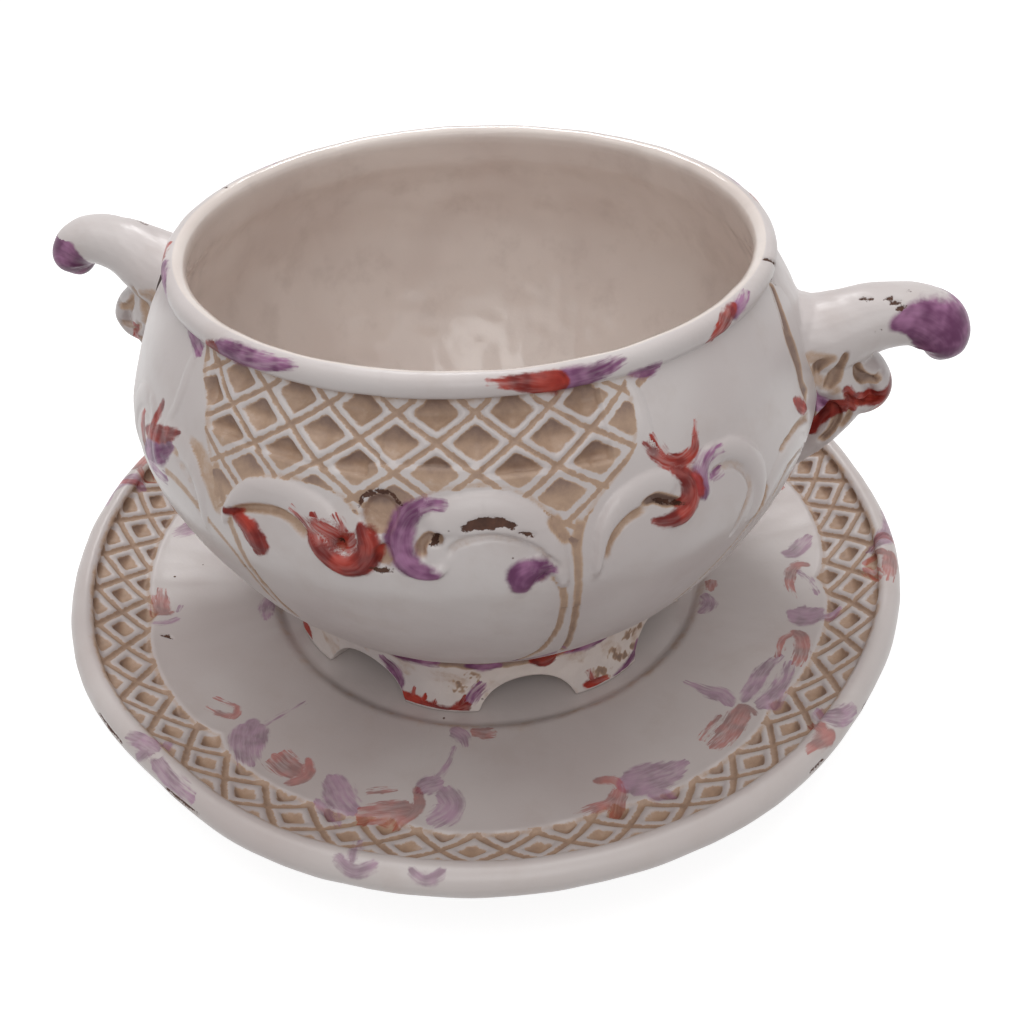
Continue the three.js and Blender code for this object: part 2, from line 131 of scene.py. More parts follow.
def spline(points, step):
    """Smooth path through points of any width, resampled about every step."""
    points = np.asarray(points, float)
    last = len(points) - 1
    parts = []
    for k in range(last):
        before, start, end, after = (points[min(max(k + i, 0), last)] for i in (-1, 0, 1, 2))
        pull_start, pull_end = (end - before) / 2, (after - start) / 2
        count = max(2, int(np.ceil(np.hypot(*(end - start)[:2]) / step)))
        t = (np.arange(count) / count)[:, None]
        parts.append(
            (2 * start - 2 * end + pull_start + pull_end) * t ** 3
            + (-3 * start + 3 * end - 2 * pull_start - pull_end) * t ** 2
            + pull_start * t + start)
    return np.vstack(parts + [points[-1:]])


def angles(count):
    """Evenly spaced angles of a full turn, in radians."""
    return np.arange(count) / count * 2 * math.pi


def level(height, *radii):
    """Profile points at one height."""
    return np.stack([radii, [height] * len(radii)], 1)


def arc(radius, height, size, start, end, steps):
    """Points of an arc in a profile, angles in degrees from the outward direction."""
    turn = np.radians(np.linspace(start, end, steps + 1))
    return np.stack([radius + size * np.cos(turn), height + size * np.sin(turn)], 1)


def arc_lengths(path):
    """Length walked along a path at each of its points."""
    return np.concatenate([[0], np.cumsum(np.hypot(*np.diff(path[:, :2], axis=0).T))])


def even_steps(path, step):
    """The path resampled at equal steps."""
    walked = arc_lengths(path)
    count = max(2, int(round(walked[-1] / step)) + 1)
    at = np.linspace(0, walked[-1], count)
    return np.stack([np.interp(at, walked, column) for column in path.T], 1)


def side_of(path, distance):
    """The path moved sideways, to the right of its direction."""
    ahead = np.gradient(path, axis=0)
    ahead /= np.hypot(*ahead.T)[:, None]
    return path + distance * np.stack([ahead[:, 1], -ahead[:, 0]], 1)


def ease(low, high, value):
    """Soft step from 0 below low to 1 above high."""
    t = np.clip((value - low) / (high - low), 0, 1)
    return t * t * (3 - 2 * t)


def ripples(x, y, size, seed):
    """Smooth irregular waves of about the given size, between -1 and 1."""
    dice = np.random.default_rng(seed)
    total = np.zeros_like(x)
    for octave in range(3):
        for _ in range(3):
            heading = dice.uniform(0, 2 * math.pi)
            pitch = size / 2 ** octave * dice.uniform(0.8, 1.3)
            phase = dice.uniform(0, 2 * math.pi)
            wave = (x * math.cos(heading) + y * math.sin(heading)) * 2 * math.pi / pitch
            total += np.sin(wave + phase) / 2 ** octave
    return total / 3


class Relief:
    """Carving and brushwork on a surface laid out flat in millimetres.

    turn is the length of a whole turn along x, or 0 where the surface isn't closed. spot gives the flat
    place of an angle and a height. Away from every path the distance fields hold -FAR.
    """

    def __init__(self, x, y, turn, spot):
        self.x, self.y, self.turn, self.spot = x, y, turn, spot
        self.height = np.zeros(x.size)
        # Brown wash, dirt and dark joints, and on the saucer also painted shade just inside the well's edge
        self.stain = np.zeros(x.size)
        self.chip, self.pits, self.lines = (np.full(x.size, -FAR) for _ in range(3))
        # How far the wash in a pit is darkened towards its upper rim, as painted shade
        self.shade = np.zeros(x.size)
        self.paint = {name: np.full(x.size, -FAR) for name in PAINTS}
        self.brush = {name: np.zeros((x.size, 3)) for name in PAINTS}
        self.strokes = 0

    def lay(self, points, turn=0.0, step=1.2):
        """Points (angle, height, half width) as a smooth flat path."""
        flat = [(*self.spot(a + turn, h), w) for a, h, w in points]
        return spline(flat, step) if len(flat) > 1 else np.array(flat)

    def wrapped(self, middle):
        """The x coordinate counted from the side where middle lies."""
        if not self.turn:
            return self.x
        return middle + (self.x - middle + self.turn / 2) % self.turn - self.turn / 2

    def near(self, path, reach):
        """Points near a path: index, distance, signed distance, length walked, half width."""
        x = self.wrapped(path[:, 0].mean())
        low, high = path[:, :2].min(axis=0) - reach, path[:, :2].max(axis=0) + reach
        index = np.flatnonzero((x > low[0]) & (x < high[0]) & (self.y > low[1]) & (self.y < high[1]))
        spots = np.stack([x[index], self.y[index]], 1)
        away = np.full(index.size, FAR)
        across, along = np.zeros(index.size), np.zeros(index.size)
        walked = arc_lengths(path)
        for k in range(len(path) - 1):
            step = path[k + 1, :2] - path[k, :2]
            length = max(np.hypot(*step), 1e-6)
            off = spots - path[k, :2]
            share = np.clip(off @ step / length ** 2, 0, 1)
            gap = np.hypot(*(off - share[:, None] * step).T)
            closer = gap < away
            side = np.sign(step[0] * off[:, 1] - step[1] * off[:, 0])
            away = np.where(closer, gap, away)
            across = np.where(closer, gap * side, across)
            along = np.where(closer, walked[k] + share * length, along)
        half = np.interp(along, walked, path[:, 2])
        return index, away, across, along, half, walked[-1]

    def soil(self, amount, index=slice(None)):
        """Brown stain of at least this amount, where index says. On the saucer it also paints shade just
        inside the well's edge.
        """
        self.stain[index] = np.maximum(self.stain[index], amount)

    def groove(self, points, depth, wash, turn=0.0):
        """A round-bottomed cut that fades out at its ends and holds brown wash."""
        index, away, _, along, half, length = self.near(self.lay(points, turn), GROOVE_REACH)
        fade = ease(0, 3, along) * ease(0, 3, length - along)
        cut = np.clip(1 - (away / half) ** 2, 0, None) * fade
        self.height[index] -= depth * cut
        soft = (1 - ease(half * 0.6, half * 1.5, away)) * fade
        self.soil(wash * soft, index)

    def roll(self, points, height, turn=0.0):
        """A raised rounded band with soft foot."""
        index, away, _, along, half, length = self.near(self.lay(points, turn), ROLL_REACH)
        fade = ease(-0.5, 4, along) * ease(-0.5, 4, length - along)
        body = np.clip(1 - (away / half) ** 2, 0, None) ** 0.6 * fade
        under = self.height[index] * (1 - ease(0.0, 0.5, body))
        crown = height * body
        self.height[index] = (under + crown + np.sqrt((under - crown) ** 2 + 0.04)) / 2 - 0.1 * (body <= 0)
        self.stain[index] *= 1 - ease(0.2, 0.6, body)
        for field in (self.pits, self.lines):
            field[index] = np.minimum(field[index], away - half * 0.9)

    def pit(self, angle, height, across, along, depth, turn=0.0):
        """A steep-sided round hollow, darkened towards its upper rim by painted shade."""
        centre = np.array([(*self.spot(angle + turn, height), 0.0)])
        x = self.wrapped(centre[0, 0])
        reach = np.hypot((x - centre[0, 0]) / across, (self.y - centre[0, 1]) / along)
        self.height -= depth * (1 - ease(0.66, 1.08, reach))
        inside = (1 - reach) * across - 0.1
        # Painted shade: the wash in the hollow darkens towards its upper rim.
        self.shade = np.where(inside > -1, ease(0.15, 0.7, (self.y - centre[0, 1]) / along), self.shade)
        self.pits = np.maximum(self.pits, inside)

    def stroke(self, colour, points, fade, turn=0.0):
        """One touch of the brush. fade gives how dry the brush is at its start and end."""
        index, away, across, along, half, length = self.near(self.lay(points, turn), STROKE_REACH)
        dry = fade[0] + (fade[1] - fade[0]) * along / max(length, 1e-6)
        beyond = (along < 1e-3) | (along > length - 1e-3)
        cover = half - away * np.where(beyond, 1 + 3 * dry, 1)
        fresh = cover > self.paint[colour][index]
        chosen = index[fresh]
        self.strokes += 1
        self.paint[colour][chosen] = cover[fresh]
        self.brush[colour][chosen] = np.stack(
            [across[fresh], along[fresh] + STREAK_SHIFT * self.strokes, dry[fresh]], 1)

    def chipped(self):
        """1 where the glaze is chipped off, 0 elsewhere, with a steep edge between."""
        return ease(-0.4, 0.4, self.chip)

    def flake(self, points, turn=0.0, worn=0.0):
        """A place where the glaze is chipped off, or only worn through in specks."""
        index, away, _, _, half, _ = self.near(self.lay(points, turn), FLAKE_REACH)
        depth = half - away if not worn else np.minimum(half - away, 0) - worn
        self.chip[index] = np.maximum(self.chip[index], depth)

    def inside(self, outline, turn=0.0):
        """Distance inside a closed outline, negative outside, counted within its reach."""
        ring = self.lay([(*p, 0.0) for p in outline] + [(*outline[0], 0.0)], turn, 2.0)
        index, away, _, _, _, _ = self.near(ring, OUTLINE_REACH)
        x = self.wrapped(ring[:, 0].mean())[index]
        y = self.y[index]
        within = np.zeros(index.size, bool)
        for (x0, y0, _), (x1, y1, _) in zip(ring[:-1], ring[1:]):
            crosses = (y0 > y) != (y1 > y)
            within ^= crosses & (x < x0 + (y - y0) * (x1 - x0) / (y1 - y0 + 1e-9))
        depth = np.full(self.x.size, -FAR)
        depth[index] = np.where(within, away, -away)
        return depth

    def lattice(self, u, v, wide, tall, region, sizes):
        """Diamond lattice: thin grooves, raised frames and sloping pits inside a region, with painted shade
        in the upper half of each pit.
        """
        unit = 1 / math.hypot(1 / wide, 1 / tall)
        cell = [n - np.round(n) for n in (u + v, u - v)]
        gaps = [(0.5 - np.abs(n)) * unit for n in cell]
        edge = -np.log(np.exp(-CELL_EDGE * gaps[0]) + np.exp(-CELL_EDGE * gaps[1])) / CELL_EDGE
        line = np.minimum(*gaps)
        pit_edge = edge - sizes.groove_width - sizes.frame_width
        pit = ease(-0.6, 1.0, pit_edge)
        slope = np.clip(pit_edge / (unit * 0.34), 0, 1)
        groove = np.exp(-(line / sizes.groove_width / 0.8) ** 2)
        mask = ease(0.2, 2.2, region)
        hollow = sizes.groove_depth * groove + pit * sizes.pit_depth * (0.3 + 0.8 * slope)
        self.height -= mask * (sizes.sink + hollow)
        self.pits = np.maximum(self.pits, np.minimum(pit_edge, region - 0.4))
        self.lines = np.maximum(self.lines, np.minimum(sizes.groove_width - line, region - 0.2))
        # Painted shade: the upper half of each cell darkens the wash in its pit.
        self.shade = np.where(mask > 0, ease(-0.1, 0.28, (cell[0] - cell[1]) / 2), self.shade)
        brim = ease(0.0, 1.0, region) * (1 - ease(1.0, 3.0, region))
        self.soil(0.45 * brim)


# Pattern lists. A point is an angle in degrees, a height or a reach, and a half width in millimetres.
# Rolls start with their height, grooves with depth and wash, strokes with paint and dryness at the ends.

LATTICE_FIELD = ((-37, 143), (-34.8, 137.2), (-32, 131.9), (-30, 123.4), (-27.6, 117.3), (-25.8, 108),
    (-23.6, 110.8), (-21.4, 115.5), (-17.7, 119.9), (-13.1, 121.9), (-9.2, 122), (-5.4, 120.4), (-3, 117),
    (0.2, 116), (3.4, 118), (7, 122.9), (11, 124.2), (14.9, 124.4), (18.8, 122.1), (21.9, 117.6),
    (23.9, 112), (25.6, 107), (27.8, 114.6), (31.1, 120.3), (33.9, 123.8), (36.7, 129.4), (37.6, 137.3),
    (37.4, 143))

SCROLL_ROLLS = (
    (1.7, ((6, 115.5, 3.2), (9, 118.2, 4.6), (12, 119, 5.2), (15.5, 119, 5.2), (19, 116.6, 4.8),
        (21.8, 112, 3.8), (23.2, 105, 2.4), (23.9, 96, 1))),
    (1.5, ((-24.2, 104, 0.9), (-22.8, 111.4, 1.8), (-19.8, 116.4, 3.2), (-16, 118.4, 3.8),
        (-12.2, 118, 4.4), (-8.6, 115.6, 4.8), (-6.4, 111.5, 4.2))),
    (1.8, ((-9.4, 112, 1.8), (-7.6, 107.4, 2.6), (-5, 104.4, 3), (-2.6, 105.4, 3.1), (-1.2, 109.2, 3),
        (-1.6, 113.4, 2.4), (-2.6, 116.2, 1.4))),
    (1.9, ((7.8, 121.5, 1.8), (4.9, 119.6, 2.6), (3.5, 115.2, 3), (3.4, 110, 3), (4.8, 105.8, 2.6),
        (7.4, 104.8, 1.8), (8.8, 107.6, 1.2))),
    (1.6, ((18, 96.5, 1.6), (18.5, 101.6, 2.8), (20, 105, 3), (21.7, 105.6, 2.4), (22.9, 103, 1.6))),
    (1.3, ((-23.5, 110.2, 0.9), (-21.2, 109.4, 2), (-19, 107, 2.8), (-18, 103.2, 2.8), (-18.2, 99.8, 1.6))),
)

SIDE_ROLLS = (
    (1.5, ((28, 98, 0.9), (28.7, 105, 1.4), (29.8, 111.8, 2.2), (32.2, 116, 3.2), (35.5, 118.2, 3.6),
        (39, 118.2, 3.8), (41.6, 115.4, 3))),
    (1.5, ((41, 119.6, 1.4), (42.8, 116.4, 2), (43.1, 111.6, 2.2), (41.2, 108, 2), (38, 108.4, 1.4))),
    (1.4, ((49.6, 121.2, 1.2), (47, 120.2, 1.8), (45.3, 116.8, 2.2), (45.1, 112.8, 2.2),
        (46.4, 109.8, 1.4))),
    (1.2, ((48, 119.4, 1.6), (51, 119.2, 2.8), (54.2, 116, 3), (56.4, 109.5, 2.8), (56.6, 101, 2),
        (54.8, 92, 1))),
    (0.6, ((37.6, 141.4, 1), (38.2, 136.6, 1.6), (38.2, 130.6, 1.7), (38.8, 125.4, 1.4), (40.2, 122, 1))),
    (0.8, ((72, 101, 2.4), (67.5, 105, 3), (62.4, 104.4, 3.2), (58.8, 98.6, 2.6), (56.6, 90, 1.6))),
)

SCROLL_GROOVES = (
    (1.3, 0.75, ((-23.2, 108, 0.9), (-21.2, 111.2, 1.1), (-18.5, 113, 1.3), (-14.7, 114.2, 1.5),
        (-11.6, 112.6, 1.7), (-9.6, 108.6, 1.4))),
    (1, 0.22, ((9, 108.6, 1), (10, 111.8, 1.2), (12.2, 113.4, 1.2), (15.9, 113.6, 1), (20.2, 110.6, 0.9),
        (22.6, 105.4, 0.8))),
    (1.1, 0.9, ((26.9, 116.4, 1.4), (25.8, 110, 1.2), (25.8, 104, 1), (25.9, 92, 0.9), (26.3, 78, 0.9),
        (26.8, 64, 0.9), (26.4, 50, 1.3))),
    (1, 0.8, ((21.2, 101.2, 1.1), (23, 100.2, 1), (23.9, 94, 0.9), (24.1, 84, 0.9), (23.8, 72, 0.9),
        (22.2, 59, 1), (17.5, 46, 1.1))),
    (1.1, 0.85, ((-27.4, 121, 1.2), (-25.6, 116, 1.3), (-24, 110.6, 1.2), (-22.7, 105, 1), (-21.7, 98, 0.9),
        (-21.2, 88, 0.9), (-20.8, 76, 0.9), (-20.6, 60, 0.9))),
    (1, 0.7, ((-42, 107.2, 0.9), (-37, 108, 1.1), (-33, 107.2, 1.1), (-29.4, 104.7, 1), (-25.8, 100.4, 0.9),
        (-23.4, 94, 0.8), (-22.8, 84, 0.7), (-22.8, 68, 0.7))),
    (1, 0.95, ((22.6, 118.2, 1.9), (23.6, 113.8, 1.5), (25.2, 109.2, 0.9))),
    (1.5, 1, ((6.2, 107.8, 1), (5.7, 111.6, 1.3), (7, 114.2, 1.3), (8.2, 111.6, 1))),
    (1.2, 0.9, ((-3.9, 113.8, 0.9), (-4.9, 110.2, 1.2), (-3.9, 107.6, 1))),
    (1, 0.8, ((20.6, 99, 0.9), (20.8, 101.6, 1), (22.4, 101.2, 0.9))),
    (0.2, 0.62, ((-34.2, 121, 1.4), (-31, 119.4, 2.8), (-28, 116, 3), (-26, 110.8, 2), (-25, 105.6, 0.8))),
)

SIDE_GROOVES = (
    (1.1, 0.75, ((29.4, 102, 0.8), (30.3, 108.4, 1.1), (33, 112.6, 1.3), (36.6, 113.9, 1.1))),
    (1.6, 1.5, ((34.8, 114.6, 1), (37.2, 115.6, 1.4), (39.2, 113.6, 1.5), (40.4, 112.8, 1.2),
        (42, 111, 1))),
    (1, 0.35, ((46.6, 114.8, 1.1), (48.8, 115.8, 1.2), (51.8, 114.2, 1.2), (53.8, 110, 1.1),
        (54.2, 105, 0.9), (52.8, 99, 0.8), (51.6, 90, 0.8))),
    (1.1, 0.8, ((58.4, 104, 0.7), (57.4, 96, 0.8), (55.6, 86, 0.8), (52.6, 74, 0.8), (47, 60, 0.9))),
    (1, 0.65, ((75.5, 106, 1.3), (70, 109.4, 1.2), (65, 109.4, 1), (61.8, 108, 0.9))),
    (1.1, 0.6, ((77, 92, 1.4), (71, 100, 1.3), (66.5, 101.4, 1.2), (63, 97, 1), (60.4, 88, 0.9),
        (56, 74, 0.8))),
)

LEFT_SHARE = 0.35  # how strong the left side's relief is
ROOT_GROOVE = ((81, 142, 1.2), (79.2, 138.6, 1.8), (77, 133.6, 1.8), (75.4, 128.6, 2.6), (75.6, 122, 2.4),
    (74.6, 116.8, 1.8), (75.8, 111, 2.2))

# Angle, height, reach across and along, depth
ROUND_PITS = ((0.3, 118.3, 4.7, 5.4, 2.6), (0.8, 108.4, 2.6, 3.6, 2.2), (8, 113.4, 1.3, 1.9, 1.6),
    (-5.2, 109.2, 1.2, 1.6, 1.3))

POT_STROKES = (
    # Left scroll and its curl
    ("red", (0, 0.1), ((-23.4, 109.8, 0.8), (-21.4, 109.2, 2.3), (-19.2, 106.8, 3.5), (-18.2, 103.4, 3.6),
        (-18.4, 100.6, 2))),
    ("red", (0.9, 0.2), ((-12.6, 116.6, 0.8), (-9.8, 113.2, 1.6), (-8, 109, 1.9))),
    ("red", (0.9, 0.2), ((-8.9, 116.8, 0.7), (-7.2, 113, 1.4), (-6, 109.2, 1.6))),
    ("red", (0.8, 0.2), ((-6, 117.4, 0.7), (-5, 114.4, 1.2), (-4.2, 110.8, 1.5))),
    ("red", (0.1, 0.1), ((-9.6, 111.4, 1.6), (-7.6, 107.4, 2.6), (-5.2, 104.4, 3), (-3, 104.8, 3.2),
        (-1.3, 108.2, 3.2), (-1.2, 112, 2.7), (-2.3, 115.2, 1.3))),
    ("red", (0.5, 0.35), ((-8.8, 114.8, 1.6), (-6.6, 112.6, 2.6), (-4.6, 110.6, 3), (-3.4, 112.6, 1.8))),
    # Crescent of the middle scroll
    ("lilac", (0.5, 0.3), ((9.4, 121.4, 0.9), (7.2, 121.6, 1.8), (5.4, 120.6, 2.2))),
    ("lilac", (0.15, 0), ((6.6, 121.9, 1.6), (4.2, 119.2, 3), (2.9, 114.4, 3.6), (3.2, 109.2, 3.4),
        (4.8, 105.8, 2.8), (7.6, 104.6, 1.3))),
    # Bud
    ("lilac", (0, 0.2), ((18.4, 100.4, 2.4), (18.9, 102.8, 4), (20.4, 104.2, 3.8), (22.2, 104, 2.2))),
    ("lilac", (0, 0), ((18.2, 99.4, 2.4), (18.7, 102.6, 4.4), (20.2, 104, 4))),
    # Right scroll
    ("red", (0.3, 0.3), ((37.2, 128.6, 0.8), (38.8, 125, 1.6), (40.8, 122.2, 2.1), (43, 121.2, 2.1),
        (45.2, 122.6, 1.7), (46, 125.8, 0.9))),
    ("red", (0.7, 0.3), ((38.4, 129.8, 0.5), (39.5, 126.4, 0.9), (40.4, 123.4, 1.2))),
    ("red", (0.7, 0.3), ((46.5, 129.2, 0.5), (45.8, 126, 1))),
    ("red", (0.1, 0.2), ((41, 120.6, 1.5), (43, 117.2, 2.6), (43.2, 112.8, 3.2), (41.4, 109.6, 3),
        (38.4, 108.8, 1.8), (36.6, 110.2, 0.9))),
    ("lilac", (0.6, 0.2), ((50, 120.8, 0.6), (46.9, 119.6, 2), (45, 115.4, 2.6), (45.2, 110.6, 1.3))),
    ("lilac", (0.4, 0.8), ((46.8, 114.6, 1.2), (49.4, 115.4, 1.1))),
    # Lip
    ("red", (0.45, 0), ((15.2, 147.4, 0.7), (19.2, 146.6, 1.9), (22.8, 145.6, 3.2), (25.4, 145, 3.8))),
    ("lilac", (0, 0.5), ((27.4, 145.2, 3.6), (30.8, 145.6, 3), (34.6, 146.6, 1.8), (37.2, 147.4, 0.7))),
    ("lilac", (0.1, 0.4), ((37.4, 142.8, 1), (40.6, 142.2, 2.1), (43.6, 142.4, 1.3))),
    ("red", (0.7, 0.1), ((53, 142.8, 1), (56.4, 144.4, 2.6), (59, 146.6, 2.4), (62, 147.8, 1))),
    ("lilac", (0.1, 0.8), ((60.6, 146.4, 2.4), (64, 147.2, 2), (67.4, 148, 0.8))),
    ("lilac", (0.1, 0.5), ((-30.6, 144.6, 3), (-26, 145.2, 3.6), (-20.4, 146.2, 2.6), (-13.8, 147.4, 0.7))),
    ("red", (0.1, 0.2), ((-34.4, 143.4, 1.3), (-31.6, 144.2, 2.4))),
    ("lilac", (0.2, 0.4), ((-43, 142.6, 1), (-40, 141.4, 2.4), (-36.8, 139.6, 2.2))),
    ("lilac", (0.2, 0.4), ((-64, 147.4, 1.8), (-60, 145.8, 3.2), (-55.5, 144.2, 3.4), (-51.6, 142.6, 1.8))),
    ("red", (0.5, 0.5), ((-72.5, 147.4, 1.6), (-69, 146.4, 2.4), (-65.4, 145.8, 1.8))),
    # Flower on the left
    ("red", (0.4, 0.2), ((-50.8, 114.8, 1.6), (-49.8, 110.8, 2.6), (-48.6, 106.8, 2))),
    ("red", (0.2, 0.1), ((-45, 113.6, 1.9), (-44.3, 119, 1.5), (-43.1, 123.4, 1.5))),
    ("red", (0, 0.2), ((-47.4, 111.6, 1.6), (-44.4, 114.2, 2.5), (-41, 116.4, 2.7), (-38.4, 118.6, 1.9),
        (-36, 120.9, 0.8))),
    ("lilac", (0, 0.1), ((-47, 105.4, 2.8), (-43.8, 109.6, 4.6), (-40.6, 113.2, 4.6), (-38.2, 116, 2.2))),
    ("lilac", (0.5, 0.9), ((-46, 102.6, 1.8), (-42, 104.4, 2.4), (-38.4, 105.2, 1.3))),
    # Beside the handle, and the foot of the stem
    ("red", (0.1, 0.2), ((70.2, 116.2, 1.2), (71.6, 113.4, 2.3), (73.6, 110, 2))),
    ("lilac", (0.1, 0.5), ((15, 43.5, 1.2), (19, 46, 2.1), (24, 50, 2.6), (27, 55, 1.6))),
)

# Places where the glaze is chipped. The fourth is a dark crescent along the top of the big round pit, drawn
# the same way.
POT_FLAKES = (
    ((11.4, 116.2, 0.9), (13.6, 117.2, 1.8), (16.2, 117, 1.4), (17.4, 116.2, 0.9)),
    ((18.4, 114.6, 0.5), (20, 113.6, 0.7)),
    ((7.8, 114.8, 0.6), (7.3, 112.2, 0.8)),
    ((-2.9, 119.4, 0.4), (-2.3, 121.4, 0.6), (-1, 123, 0.7), (0.5, 123.6, 0.7), (2, 122.8, 0.6),
        (3.2, 120.8, 0.4)),
    ((-0.9, 105, 0.4), (0.4, 104.2, 0.6), (1.9, 105, 0.4)),
    ((37.4, 114.8, 0.5), (39.6, 112.8, 0.7), (41.4, 111.6, 0.5)),
    ((-5.4, 111.2, 0.4), (-5, 109.2, 0.5)),
    ((80, 148.2, 0.8), (82.4, 144.6, 0.7)),
)
JOINT_FLAKE = ((81.6, 141.6, 0.9), (83, 139.6, 0.9), (85.6, 139, 0.6))

